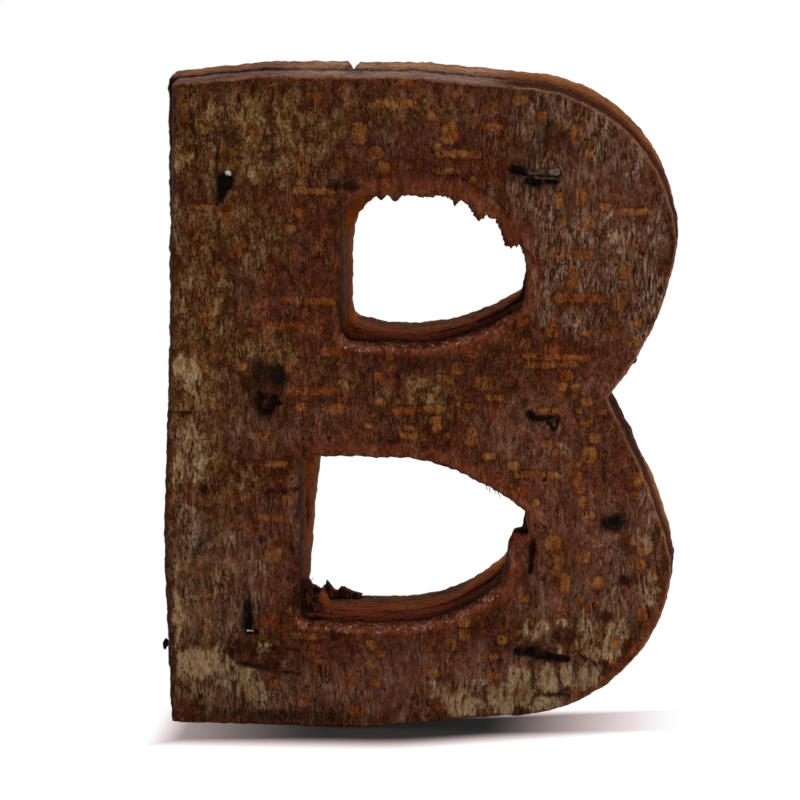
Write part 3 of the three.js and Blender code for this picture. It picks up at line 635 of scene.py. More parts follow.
def rear_relief(x, z, to_counter):
    """The back face, of the same bark, with its features spread at random."""
    bars = scattered(REAR_BARS, SEED + 200, (1.8, 5.5), (0.6, 0.8))
    blobs = scattered(REAR_BLOBS, SEED + 201, (0.7, 1.6), (0.7, 1.9))
    ochre = bars[:REAR_OCHRE_BARS] + blobs[:REAR_OCHRE_BLOBS]
    orange = bars[REAR_OCHRE_BARS:] + blobs[REAR_OCHRE_BLOBS:]
    masks = lenticel_masks(x, z, ochre, orange)
    for i, (key, (count, wide, tall, strength)) in enumerate(REAR_PATCHES.items()):
        masks[key] = patch_mask(x, z, scattered(count, SEED + 210 + i, wide, tall, strength), SEED + 230 + i)
    masks["crack"] = 0.6 * grow_cracks(x, z, SEED + 220)
    masks["fibre"] = bark_fibre(x, z, SEED + 221)
    masks["bend"] = 1 - step(0.2, 1.4, to_counter)
    return face_relief(x, z, masks, SEED + 222), masks


# Outlines and flat meshes.

def area(loop):
    """The area inside a loop of x and z, positive where it runs counter-clockwise."""
    ahead = np.roll(loop, -1, axis=0)
    return 0.5 * np.sum(loop[:, 0] * ahead[:, 1] - ahead[:, 0] * loop[:, 1])


def flat_outlines(node, y):
    """A node's outlines on its flat face at y: its outer edge counter-clockwise, then openings, clockwise."""
    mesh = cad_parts[node].data
    mesh.calc_loop_triangles()
    places = np.array([v.co for v in mesh.vertices]) / MM
    unique, number = np.unique(np.round(places, 3), axis=0, return_inverse=True)
    triangles = number.reshape(-1)[np.array([t.vertices for t in mesh.loop_triangles])]
    level = np.abs(unique[:, 1] - y) < FLAT_WITHIN
    edges = set()
    for a, b, c in triangles[level[triangles].all(axis=1)]:
        edges.update([(a, b), (b, c), (c, a)])
    follow = {a: b for a, b in edges if (b, a) not in edges}
    outlines = []
    while follow:
        start, place = follow.popitem()
        loop = [start]
        while place != start:
            loop.append(place)
            place = follow.pop(place)
        outlines.append(unique[loop][:, [0, 2]])
    outlines = [o for o in outlines if abs(area(o)) > LEAST_OUTLINE_AREA]
    outlines.sort(key=lambda o: -abs(area(o)))
    turned = [outlines[0] if area(outlines[0]) > 0 else outlines[0][::-1]]
    for hole in outlines[1:]:
        turned.append(hole if area(hole) < 0 else hole[::-1])
    return turned


def evenly(loop, spacing):
    """Points along a closed loop at an even spacing."""
    ring = np.vstack([loop, loop[:1]])
    along = np.concatenate([[0], np.cumsum(np.hypot(*np.diff(ring, axis=0).T))])
    count = int(round(along[-1] / spacing))
    places = np.linspace(0, along[-1], count, endpoint=False)
    return np.stack([np.interp(places, along, ring[:, i]) for i in (0, 1)], axis=1)


def outward(loop):
    """The directions out of the solid along a loop, smoothed over its neighbours."""
    tangent = np.roll(loop, -3, axis=0) - np.roll(loop, 3, axis=0)
    normal = np.stack([tangent[:, 1], -tangent[:, 0]], axis=1)
    return normal / np.maximum(np.hypot(*normal.T), 1e-9)[:, None]


def inside(loops, x, z):
    """Whether points lie inside the outline and outside its openings."""
    odd = np.zeros(len(x), bool)
    for loop in loops:
        for (ax, az), (bx, bz) in zip(loop, np.roll(loop, -1, axis=0)):
            if az != bz:
                odd ^= ((az <= z) != (bz <= z)) & (x < ax + (z - az) * (bx - ax) / (bz - az))
    return odd


def nearest_on(loop, x, z):
    """The distance of points from a loop of points, and the number of the nearest point."""
    tree = kdtree.KDTree(len(loop))
    for i, (px, pz) in enumerate(loop):
        tree.insert((px, pz, 0), i)
    tree.balance()
    found = [tree.find((px, pz, 0)) for px, pz in zip(x, z)]
    return np.array([f[2] for f in found]), np.array([f[1] for f in found])


def filled_rows(loops, spacing, seed):
    """Points of a slightly uneven triangular grid that lie inside the loops and clear of them."""
    rng = np.random.default_rng(seed)
    starts = np.vstack(loops)
    ends = np.vstack([np.roll(loop, -1, axis=0) for loop in loops])
    low, high = starts.min(axis=0), starts.max(axis=0)
    rows = []
    for r, z in enumerate(np.arange(low[1], high[1], spacing * math.sqrt(0.75))):
        cut = (starts[:, 1] <= z) != (ends[:, 1] <= z)
        a, b = starts[cut], ends[cut]
        crossings = np.sort(a[:, 0] + (z - a[:, 1]) * (b[:, 0] - a[:, 0]) / (b[:, 1] - a[:, 1]))
        x = np.arange(low[0] + spacing * (r % 2) / 2, high[0], spacing)
        x = x[np.searchsorted(crossings, x) % 2 == 1]
        rows.append(np.stack([x, np.full(len(x), z)], axis=1))
    points = np.vstack(rows)
    points = points + rng.uniform(-FACE_JITTER, FACE_JITTER, points.shape) * spacing
    away, _ = nearest_on(starts, *points.T)
    return points[away > EDGE_CLEAR * spacing]


def triangulated(loops, points):
    """Counter-clockwise triangles that fill the loops, through all of the points. The loops come first."""
    places = np.vstack([*loops, points])
    edges = []
    first = 0
    for loop in loops:
        edges += [(first + i, first + (i + 1) % len(loop)) for i in range(len(loop))]
        first += len(loop)
    result = geometry.delaunay_2d_cdt(places.tolist(), edges, [], 0, 1e-6)
    source = np.array([ids[0] if ids else -1 for ids in result[3]])
    triangles = source[np.array([f for f in result[2] if len(f) == 3])]
    triangles = triangles[(triangles >= 0).all(axis=1)]
    rim = (triangles < first).all(axis=1)
    middle = places[triangles[rim]].mean(axis=1)
    keep = np.ones(len(triangles), bool)
    keep[rim] = inside(loops, middle[:, 0], middle[:, 1])
    triangles = triangles[keep]
    a, b, c = (places[triangles[:, i]] for i in range(3))
    turn = (b[:, 0] - a[:, 0]) * (c[:, 1] - a[:, 1]) - (b[:, 1] - a[:, 1]) * (c[:, 0] - a[:, 0])
    triangles[turn < 0] = triangles[turn < 0][:, ::-1]
    return triangles


# The sawn and torn edges.

def rounding(radius, away):
    """How far a rounded edge falls away at a distance from it."""
    reach = np.clip(radius - away, 0, None)
    return radius - np.sqrt(radius * radius - reach * reach)


def wall_swell(x, z, depth, thickness, is_counter, seed):
    """How far a wall stands out: a ragged cut, thin layers along it, and crumbly grain."""
    ragged = 0.10 * rough(0.55 * x, 0.55 * z, 0.12 * depth, seed)
    layers = 0.07 * rough(0.22 * x, 0.22 * z, 1.3 * depth, seed + 10, 2)
    grain = 0.1 * rough(1.5 * x, 1.5 * z, 1.5 * depth, seed + 20, 2)
    drop = 0.0 if is_counter else rounding(JOINT_ARRIS, thickness - depth)
    return ragged + (layers + grain) * step(0.0, 0.8, depth) - drop


def torn_teeth(x, z, normal_z, depth, seed):
    """Spiky fibres that hang from a counter's ceiling, larger in the upper counter and to the right."""
    spikes = (1 - np.abs(noise(1.1 * x, 1.1 * z, 0.05 * depth, seed))) ** 6
    fuzz = (1 - np.abs(noise(2.3 * x, 2.3 * z, 0.05 * depth, seed + 1))) ** 5
    hanging = step(0.15, 0.6, -normal_z)
    upper = step(*TEETH_ABOVE, z)
    more = 0.35 + 0.65 * step(*TEETH_RIGHT, x)
    return hanging * upper * more * (0.36 * spikes + 0.16 * fuzz) + 0.08 * hanging * fuzz


def flap_slope(x, z, depth):
    """How far the flap's top falls away behind its outer skin."""
    away, _ = from_line(x, z, on_face(*FLAP_TOP[0]), on_face(*FLAP_TOP[1]))
    return FLAP_SLOPE * depth * (1 - step(0.4 * FLAP_REACH, FLAP_REACH, away))


# Small bits along the edges. Each is its places, its faces and its material number.

def sliver(path, radius):
    """A thin three-sided fibre along a path, with a closed root and a sharp tip."""
    rings = []
    for i, place in enumerate(path[:-1]):
        ahead = path[i + 1] - place
        across = np.cross(ahead, (0.3, 1.0, 0.2))
        across = across / np.linalg.norm(across)
        upward = np.cross(ahead, across) / np.linalg.norm(ahead)
        width = radius * (1 - 0.6 * i / len(path))
        for turn in (0, 1, 2):
            angle = turn * 2 * np.pi / 3
            rings.append(place + width * (np.cos(angle) * across + np.sin(angle) * upward))
    last = 3 * (len(path) - 1)
    sides = ((0, 1), (1, 2), (2, 0))
    faces = [(0, 1, 2)]
    for i in range(0, last - 3, 3):
        faces += [(i + j, i + 3 + j, i + 3 + k, i + k) for j, k in sides]
    faces += [(last - 3 + j, last, last - 3 + k) for j, k in sides]
    return np.vstack([rings, path[-1:]]), faces


def crumb(place, size, rng):
    """A lump of eight facets, squashed at random."""
    reach = size * rng.uniform(0.5, 1.0, 3)
    tips = [(1, 0, 0), (0, 1, 0), (-1, 0, 0), (0, -1, 0), (0, 0, 1), (0, 0, -1)]
    faces = []
    for i in range(4):
        j = (i + 1) % 4
        faces += [(i, j, 4), (j, i, 5)]
    return place + np.array(tips) * reach + rng.uniform(-0.25, 0.25, (6, 3)) * size, faces


def fibres(lines, y):
    """Slivers through pixels, in an upright plane."""
    parts = []
    for i, line in enumerate(lines):
        x, z = on_plane(*zip(*line), y)
        bend = FIBRE_BEND * np.arange(len(line)) * math.sin(1.7 * i)
        parts.append((*sliver(np.stack([x, y + bend, z], axis=1), FIBRE_RADIUS), COUNTER_KIND))
    return parts


def shards(outlines, y):
    """Flat torn bits with outlines through pixels, in an upright plane."""
    parts = []
    for outline in outlines:
        loop = np.stack(on_plane(*zip(*outline), y), axis=1)
        if area(loop) < 0:
            loop = loop[::-1]
        size = len(loop)
        near = np.insert(loop, 1, y, axis=1)
        far = np.insert(loop, 1, y + SHARD_THICKNESS, axis=1)
        faces = [tuple(range(size)), tuple(range(2 * size - 1, size - 1, -1))]
        for i in range(size):
            j = (i + 1) % size
            faces.append((j, i, i + size, j + size))
        parts.append((np.vstack([near, far]), faces, CRUMB_KIND))
    return parts


def corner_splinters(rim, ledge, rng):
    """Splinters on a counter's ledge, near its left end."""
    left = rim[:, 0].min()
    corner = [at for at in ledge if rim[at][0] < left + CORNER_RUN]
    parts = []
    for at in rng.choice(corner, CORNER_SPLINTERS):
        x, z = rim[at]
        start = np.array([x, FRONT_FACE + rng.uniform(*SPLINTER_DEPTHS), z - SPLINTER_SINK])
        run = rng.uniform(-1, 1, 3) * SPLINTER_RUN
        run[2] = abs(run[2])
        path = np.array([start, start + 0.6 * run, start + run])
        parts.append((*sliver(path, SPLINTER_RADIUS), CRUMB_KIND))
    return parts


def ledge_crumbs(rim, normal, arris, ledge, rng):
    """Crumbs on a counter's ledge, before and behind its rounded edge."""
    parts = []
    for at in rng.choice(ledge, LEDGE_CRUMBS):
        inward = rng.uniform(*CRUMB_INWARD)
        x, z = rim[at] - normal[at] * max(0.0, -0.5 * inward)
        place = np.array([x, FRONT_FACE + arris[at] * min(1.0, 0.9 + 0.6 * inward), z])
        place[1] += max(0.0, inward)
        parts.append((*crumb(place, rng.uniform(*CRUMB_SIZE), rng), CRUMB_KIND))
    return parts


def front_trim(ply):
    """Loose fibres, torn bits, the splinters of the rough corner and the crumbs along the ledges."""
    rng = np.random.default_rng(SEED + 300)
    parts = fibres(FRONT_FIBRES, FRONT_FACE + FRONT_FIBRE_DEPTH)
    parts += shards(FRONT_SHARDS, FRONT_FACE + FRONT_SHARD_DEPTH)
    ledges = [np.flatnonzero(normal[:, 1] > LEDGE_FACING) for normal in ply.normals]
    lower = min((1, 2), key=lambda i: ply.rims[i][:, 1].mean())
    parts += corner_splinters(ply.rims[lower], ledges[lower], rng)
    for i in (1, 2):
        parts += ledge_crumbs(ply.rims[i], ply.normals[i], ply.arrises[i], ledges[i], rng)
    return parts


def rear_trim(ply):
    """Torn bits and fibres that stand up at the lower counter's corner."""
    y = REAR_FACE - REAR_SHARD_DEPTH
    return fibres(REAR_FIBRES, y) + shards(REAR_SHARDS, y)


# The plies.

class Ply:
    """One ply: a finely meshed bark face, rough walls round its edge and openings, and a plain joint face."""

    def __init__(self, node, face, joint, seed):
        self.face = face
        self.into = 1.0 if joint > face else -1.0
        self.is_front = joint > face
        self.thickness = abs(joint - face)
        self.seed = seed
        self.base = [evenly(loop, FACE_STEP) for loop in flat_outlines(node, face)]
        self.normals = [outward(loop) for loop in self.base]
        ledge = LEDGE_ARRIS if self.is_front else 0.0
        self.arrises = [np.full(len(self.base[0]), OUTER_ARRIS)]
        for normal in self.normals[1:]:
            self.arrises.append(COUNTER_ARRIS + ledge * np.maximum(normal[:, 1], 0))
        self.rims = [self.cut(i, arris) for i, arris in enumerate(self.arrises)]
        self.places, self.masks, self.polygons, self.kinds = [], [], [], []
        self.count = 0

    def cut(self, i, depth):
        """An outline at a depth below the face, as it was sawn and torn."""
        x, z = self.base[i].T
        swell = wall_swell(x, z, depth, self.thickness, i > 0, self.seed)
        if i > 0 and self.is_front:
            teeth = torn_teeth(x, z, self.normals[i][:, 1], depth, self.seed + 30)
            swell = swell + teeth - flap_slope(x, z, depth)
        return self.base[i] + swell[:, None] * self.normals[i]

    def sunk(self, flat, depth):
        """Points of x and z at a depth below the face."""
        return np.stack([flat[:, 0], self.face + self.into * depth, flat[:, 1]], axis=1)

    def turned(self, faces):
        """Faces that look out of the front ply, turned over where this is the rear ply."""
        return (faces if self.is_front else faces[:, ::-1]).tolist()

    def add_places(self, places, **masks):
        """Adds places with their masks, and gives their numbers. A mask that isn't given is 0."""
        numbers = self.count + np.arange(len(places))
        self.count += len(places)
        self.places.append(places)
        self.masks.append(masks)
        return numbers

    def add_faces(self, faces, kind):
        self.polygons += faces
        self.kinds += [kind] * len(faces)

    def add_skin(self, relief):
        """The bark face, with its relief and masks. Its first places are the rims."""
        points = filled_rows(self.rims, FACE_STEP, self.seed)
        flat = np.vstack([*self.rims, points])
        x, z = flat.T
        to_outer, beside = nearest_on(self.rims[0], x, z)
        facing = self.normals[0][beside]
        to_counter, at = nearest_on(np.vstack(self.rims[1:]), x, z)
        level = step(0.25, 0.7, np.vstack(self.normals[1:])[at, 1])
        drop = rounding(OUTER_ARRIS, to_outer) + rounding(np.concatenate(self.arrises[1:])[at], to_counter)
        depth, masks = relief(x, z, to_counter)
        depth = drop + depth * step(0.0, 0.5, np.minimum(to_outer, to_counter))
        # Painted shade on the outer edge where it faces left; a painted highlight line where it faces right
        # or up.
        masks["rim"] = (1 - step(0.15, 0.6, to_outer)) * step(0.3, 0.7, -facing[:, 0])
        masks["line"] = (1 - step(0.02, 0.26, to_outer)) * step(0.0, 0.4, facing.max(axis=1))
        masks["ledge"] = level * (1 - step(0.5, 1.1, to_counter))
        # Where the ledges are wet and glossy, with painted highlights on them.
        masks["gloss"] = level * (1 - step(0.4, 1.0, to_counter)) * (1 - step(*FLAP_DRY, x))
        self.add_places(self.sunk(flat, depth), **masks)
        self.add_faces(self.turned(triangulated(self.rims, points)), FACE_KIND)

    def add_walls(self):
        """The walls below the rims, and the joint face that closes them."""
        first = 0
        last_rims, last_numbers = [], []
        for i, arris in enumerate(self.arrises):
            above = first + np.arange(len(arris))
            first += len(arris)
            top = step(0.7, 0.95, self.normals[i][:, 1])
            layers = int(round((self.thickness - arris.min()) / WALL_STEP))
            for share in np.linspace(0, 1, layers + 1)[1:]:
                depth = arris + share * (self.thickness - arris)
                rim = self.cut(i, depth)
                masks = {"depth": depth, "top": top}
                if i == 0:
                    masks["dark"] = top * (1 - step(*TOP_STAIN, rim[:, 0]))
                    masks["top"] = top * (1 - step(*TOP_PALE_END, rim[:, 0]))
                below = self.add_places(self.sunk(rim, depth), **masks)
                ring = np.stack([above, below, np.roll(below, -1), np.roll(above, -1)], axis=1)
                self.add_faces(self.turned(ring), COUNTER_KIND if i else EDGE_KIND)
                above = below
            last_rims.append(rim)
            last_numbers.append(above)
        cap = np.concatenate(last_numbers)[triangulated(last_rims, np.zeros((0, 2)))]
        self.add_faces(self.turned(cap[:, ::-1]), COUNTER_KIND)

    def add_trim(self, parts):
        """Small bits, coloured as the middle of the wall."""
        for places, faces, kind in parts:
            numbers = self.add_places(places, depth=np.full(len(places), 0.5 * self.thickness))
            self.add_faces([numbers[list(corners)].tolist() for corners in faces], kind)

    def piece(self, name):
        """An object of all that was added. Crumbs keep their facets."""
        mesh = bpy.data.meshes.new(name)
        mesh.from_pydata((np.vstack(self.places) * MM).tolist(), [], self.polygons)
        kinds = np.array(self.kinds, np.int32)
        mesh.polygons.foreach_set("material_index", kinds)
        mesh.polygons.foreach_set("use_smooth", kinds != CRUMB_KIND)
        for key in dict.fromkeys(key for masks in self.masks for key in masks):
            parts = [masks.get(key, np.zeros(len(places))) for places, masks in zip(self.places, self.masks)]
            layer = mesh.attributes.new(key, "FLOAT", "POINT")
            layer.data.foreach_set("value", np.concatenate(parts).astype(np.float32))
        mesh.validate()
        piece = bpy.data.objects.new(name, mesh)
        bpy.context.scene.collection.objects.link(piece)
        return piece


def bark_ply(name, node, face, relief, trim, seed):
    ply = Ply(node, face, REAR_JOINT, seed)
    ply.add_skin(relief)
    ply.add_walls()
    ply.add_trim(trim(ply))
    return ply.piece(name)


# Materials.

def linear(code):
    """A colour written as a hex code, in linear light."""
    channels = [int(code[i:i + 2], 16) / 255 for i in (1, 3, 5)]
    return (*[c / 12.92 if c <= 0.04045 else ((c + 0.055) / 1.055) ** 2.4 for c in channels], 1.0)


class Tree:
    """A material's nodes, with short calls to add them."""

    def __init__(self, name):
        self.material = bpy.data.materials.new(name)
        self.material.use_nodes = True
        self.nodes = self.material.node_tree.nodes
        self.links = self.material.node_tree.links
        self.nodes.clear()
        self.output = self.nodes.new("ShaderNodeOutputMaterial")

    def put(self, socket, value):
        """Links a socket to another, or sets it to a plain value."""
        if isinstance(value, bpy.types.NodeSocket):
            self.links.new(value, socket)
        else:
            socket.default_value = value

    def add(self, kind, inputs=None, **settings):
        node = self.nodes.new(kind)
        for key, value in settings.items():
            setattr(node, key, value)
        for key, value in (inputs or {}).items():
            self.put(node.inputs[key], value)
        return node

    def mask(self, name):
        return self.add("ShaderNodeAttribute", attribute_name=name).outputs["Fac"]

    def place(self, *scales):
        """Object coordinates in millimetres, times a scale for each axis."""
        where = self.add("ShaderNodeTexCoord").outputs["Object"]
        scale = tuple(s / MM for s in scales)
        return self.add("ShaderNodeVectorMath", {0: where, 1: scale}, operation="MULTIPLY").outputs[0]

    def noise(self, where, detail=3.0, rough=0.55, warp=0.0):
        inputs = {"Vector": where, "Scale": 1.0, "Detail": detail, "Roughness": rough, "Distortion": warp}
        return self.add("ShaderNodeTexNoise", inputs).outputs["Fac"]

    def math(self, operation, a, b=0.0, c=0.0):
        return self.add("ShaderNodeMath", {0: a, 1: b, 2: c}, operation=operation).outputs[0]

    def times(self, a, b):
        return self.math("MULTIPLY", a, b)

    def most(self, a, b):
        return self.math("MAXIMUM", a, b)

    def blend(self, *parts):
        """A weighted sum. Parts are a value and its weight."""
        total = self.times(*parts[0])
        for value, weight in parts[1:]:
            total = self.math("ADD", total, self.times(value, weight))
        return total

    def from_middle(self, value):
        """How far a noise is from the middle of its range."""
        return self.math("ABSOLUTE", self.math("SUBTRACT", value, 0.5))

    def stretch(self, value, low, high, to_low=0.0, to_high=1.0):
        """A value's stretch from low to high, as a smooth step."""
        inputs = {"Value": value, "From Min": low, "From Max": high, "To Min": to_low, "To Max": to_high}
        return self.add("ShaderNodeMapRange", inputs, interpolation_type="SMOOTHSTEP").outputs["Result"]

    def mix(self, factor, a, b, blend="MIX"):
        node = self.add("ShaderNodeMix", data_type="RGBA", blend_type=blend)
        self.put(node.inputs[0], factor)
        self.put(node.inputs[6], a)
        self.put(node.inputs[7], b)
        return node.outputs[2]

    def ramp(self, factor, *stops):
        """Colours along a value. Stops are a place from 0 to 1 and a hex code."""
        node = self.add("ShaderNodeValToRGB", {"Fac": factor})
        elements = node.color_ramp.elements
        while len(elements) < len(stops):
            elements.new(0.5)
        for element, (place, code) in zip(elements, stops):
            element.position = place
            element.color = linear(code)
        return node.outputs["Color"]

    def bump(self, height, strength, distance):
        inputs = {"Height": height, "Strength": strength, "Distance": distance * MM}
        return self.add("ShaderNodeBump", inputs).outputs["Normal"]

    def finish(self, inputs):
        shader = self.add("ShaderNodeBsdfPrincipled", inputs)
        self.links.new(shader.outputs["BSDF"], self.output.inputs["Surface"])
        return self.material


# The noises in the bark: scale across, scale up, detail, roughness and warp.
BARK_NOISES = {
    "mottle": (0.45, 0.32, 4.0, 0.6, 0.4),
    "rusty": (0.61, 0.5, 4.0, 0.6, 0.8),
    "plum": (0.83, 0.55, 4.0, 0.6, 0.8),
    "middle": (1.3, 0.9, 3.0, 0.6, 0.5),
    "streak": (2.4, 1.0, 3.0, 0.6, 0.8),
    "grain": (4.6, 3.2, 3.0, 0.7, 0.2),
    "dash": (2.3, 0.5, 3.0, 0.62, 1.2),
    "spark": (2.3, 2.0, 3.0, 0.6, 0.4),
    "speck": (3.1, 2.6, 3.0, 0.6, 0.4),
    "fissure": (1.5, 0.26, 3.0, 0.55, 0.9),
    "thin": (1.15, 0.26, 3.0, 0.5, 1.0),
}
# The bark's tints by zone, from the darkest to the palest of its grain.
BARK_TINTS = ((0.42, "#2d1106"), (0.484, "#42200f"), (0.532, "#53301b"), (0.604, "#6c4931"))
ZONE_TINTS = {
    "maroon": ((0.42, "#431f13"), (0.484, "#5a3020"), (0.532, "#6a402f"), (0.604, "#80584a")),
    "red": ((0.42, "#35130a"), (0.484, "#4b200f"), (0.532, "#582b1b"), (0.604, "#6a4030")),
    "olive": ((0.42, "#2f1505"), (0.484, "#4b2c13"), (0.532, "#69492a"), (0.604, "#8a6c4a")),
}
RUST_TINTS = ((0.42, "#371304"), (0.484, "#582405"), (0.532, "#70350f"), (0.604, "#864c26"))
PLUM_TINTS = ((0.42, "#25110f"), (0.484, "#3a201b"), (0.532, "#50352e"), (0.604, "#705750"))
TAN_TINTS = ((0.42, "#3e2009"), (0.484, "#603f1e"), (0.532, "#7e5f39"), (0.604, "#9d8258"))
PALE_TINTS = ((0.39, "#6c5438"), (0.48, "#917554"), (0.55, "#a98b67"), (0.64, "#c2a684"))
LILAC_SHEEN_TINTS = ((0.4, "#8a6750"), (0.6, "#b2927a"))
OCHRE_TINTS = ((0.38, "#5c2e0e"), (0.48, "#78461b"), (0.55, "#8c5a2b"), (0.64, "#a07040"))
ORANGE_TINTS = ((0.38, "#54210a"), (0.48, "#70330f"), (0.55, "#86481f"), (0.64, "#985e32"))
BEND_TINTS = ((0.42, "#491e0f"), (0.5, "#6c331c"), (0.604, "#8f5236"))
LEDGE_TINTS = ((0.42, "#4f2213"), (0.5, "#7e3f27"), (0.604, "#a3674a"))


def bark_noises(t):
    """The bark's noises by name, and the fibre and tone made of them."""
    n = types.SimpleNamespace()
    for name, (across, up, *kind) in BARK_NOISES.items():
        setattr(n, name, t.noise(t.place(across, across, up), *kind))
    n.fibre = t.blend((n.streak, 0.45), (n.grain, 0.55))
    n.tone = t.blend((n.mottle, 0.22), (n.middle, 0.26), (n.fibre, 0.52))
    return n


def bark_ground(t, n):
    """The bark's broad colours."""
    colour = t.ramp(n.tone, *BARK_TINTS)
    for zone, tints in ZONE_TINTS.items():
        colour = t.mix(t.mask(zone), colour, t.ramp(n.tone, *tints))
    colour = t.mix(t.stretch(n.rusty, 0.5, 0.66, 0.0, 0.55), colour, t.ramp(n.tone, *RUST_TINTS))
    return t.mix(t.stretch(n.plum, 0.52, 0.68, 0.0, 0.55), colour, t.ramp(n.tone, *PLUM_TINTS))


def bark_patches(t, n, colour):
    """Weathered tan and pale fibrous patches, flecks, and painted sheen and glints in lilac and pale dashes.
    """
    patchy = t.stretch(t.blend((n.plum, -0.5), (n.middle, 1.0)), 0.16, 0.32, 0.25, 1.0)
    colour = t.mix(t.times(t.mask("tan"), patchy), colour, t.ramp(n.tone, *TAN_TINTS))
    pale = t.mask("pale")
    ragged = t.blend((n.dash, 2.4), (n.middle, 1.4))
    covered = t.math("MULTIPLY_ADD", t.math("MINIMUM", pale, 0.8), 0.9, ragged)
    covered = t.times(t.stretch(covered, 1.95, 2.75, 0.0, 0.9), t.stretch(pale, 0.05, 0.4))
    colour = t.mix(covered, colour, t.ramp(n.tone, *PALE_TINTS))
    # Lilac dashes: a painted sheen on the fibres.
    lilac = t.times(t.mask("lilac"), t.stretch(n.dash, 0.44, 0.61, 0.03, 0.74))
    colour = t.mix(lilac, colour, t.ramp(n.mottle, *LILAC_SHEEN_TINTS))
    # Painted glints: pale dashes on the fibres.
    colour = t.mix(t.stretch(n.dash, 0.62, 0.74, 0.0, 0.4), colour, linear("#8e7055"))
    colour = t.mix(t.stretch(n.spark, 0.58, 0.68, 0.0, 0.6), colour, linear("#7a3d16"))
    return t.mix(t.stretch(n.speck, 0.58, 0.68, 0.0, 0.6), colour, linear("#220f08"))


def bark_lenticels(t, n, colour):
    """Ochre and orange lenticels with a dark line round them."""
    colour = t.mix(t.times(t.mask("halo"), 0.35), colour, linear("#2a1108"))
    wear_and_glint = t.stretch(n.middle, 0.34, 0.5, 0.8, 1.0)
    cell = t.blend((n.middle, 0.5), (n.grain, 0.5))
    orange = t.ramp(cell, *ORANGE_TINTS)
    ochre = t.mix(t.stretch(n.rusty, 0.46, 0.6, 0.0, 0.7), t.ramp(cell, *OCHRE_TINTS), orange)
    colour = t.mix(t.times(t.mask("ochre"), wear_and_glint), colour, ochre)
    return t.mix(t.times(t.mask("orange"), wear_and_glint), colour, orange)


def bark_fissures(t, n):
    """Thin dark lines along the grain, more of them in the lilac areas and fewer in the pale ones."""
    here = t.stretch(n.mottle, 0.4, 0.56, 0.3, 1.0)
    wide = t.times(t.stretch(t.from_middle(n.fissure), 0.0, 0.032, 1.0, 0.0), here)
    thin = t.times(t.stretch(t.from_middle(n.thin), 0.0, 0.04, 0.95, 0.0), t.mask("lilac"))
    return t.times(t.most(wide, thin), t.stretch(t.mask("pale"), 0.2, 1.0, 1.0, 0.35))


def bark_glints(t, n):
    """Wet spots along the ledges: glossier, with painted highlights."""
    spots = t.stretch(t.blend((n.spark, 1.0), (n.plum, 0.5)), 0.78, 0.88)
    return t.times(t.times(t.mask("gloss"), spots), t.stretch(n.grain, 0.48, 0.58))


def bark_borders(t, n, colour, glint):
    """Rolled-over red inner bark, the ledges and their painted glints, and painted shade and highlight at the
    rim.
    """
    bend = t.times(t.mask("bend"), t.stretch(n.mottle, 0.3, 0.6, 0.85, 0.4))
    colour = t.mix(bend, colour, t.ramp(n.tone, *BEND_TINTS))
    colour = t.mix(t.mask("ledge"), colour, t.ramp(n.tone, *LEDGE_TINTS))
    # Painted highlights of the wet glints on the ledges.
    colour = t.mix(glint, colour, linear("#cfada2"))
    # Painted shade where the outer edge faces left.
    colour = t.mix(t.times(t.mask("rim"), 0.7), colour, linear("#301b18"))
    # A painted highlight line along the rim where it faces right or up.
    line = t.times(t.mask("line"), t.stretch(n.streak, 0.4, 0.56, 0.25, 0.9))
    return t.mix(line, colour, linear("#946040"))


def bark_material():
    """Lacquered outer bark: speckled red-brown with thin fissures, ochre lenticels and pale patches."""
    t = Tree("outer_bark")
    n = bark_noises(t)
    fissures = bark_fissures(t, n)
    glint = bark_glints(t, n)
    colour = bark_lenticels(t, n, bark_patches(t, n, bark_ground(t, n)))
    colour = t.mix(fissures, colour, linear("#1e0c06"))
    colour = bark_borders(t, n, colour, glint)
    # Dark knots and stains, and painted shade: dark in the staples' slots, and the shadows among the dark
    # spots.
    dark = t.times(t.mask("dark"), t.stretch(n.middle, 0.3, 0.55, 0.65, 1.0))
    colour = t.mix(dark, colour, linear("#0c0908"))
    colour = t.mix(t.times(t.mask("crack"), 0.85), colour, linear("#200d06"))
    wet = t.times(t.mask("gloss"), n.middle)
    relief = t.blend((n.fibre, 1.0), (fissures, -0.3), (wet, 2.0))
    calm = t.stretch(t.most(t.mask("bend"), t.mask("maroon")), 0.0, 1.0, 0.8, 0.45)
    return t.finish({
        "Base Color": colour, "Roughness": t.stretch(glint, 0.0, 1.0, 0.55, 0.2),
        "Specular IOR Level": t.stretch(glint, 0.0, 1.0, 0.02, 0.6), "Normal": t.bump(relief, calm, 0.25),
    })


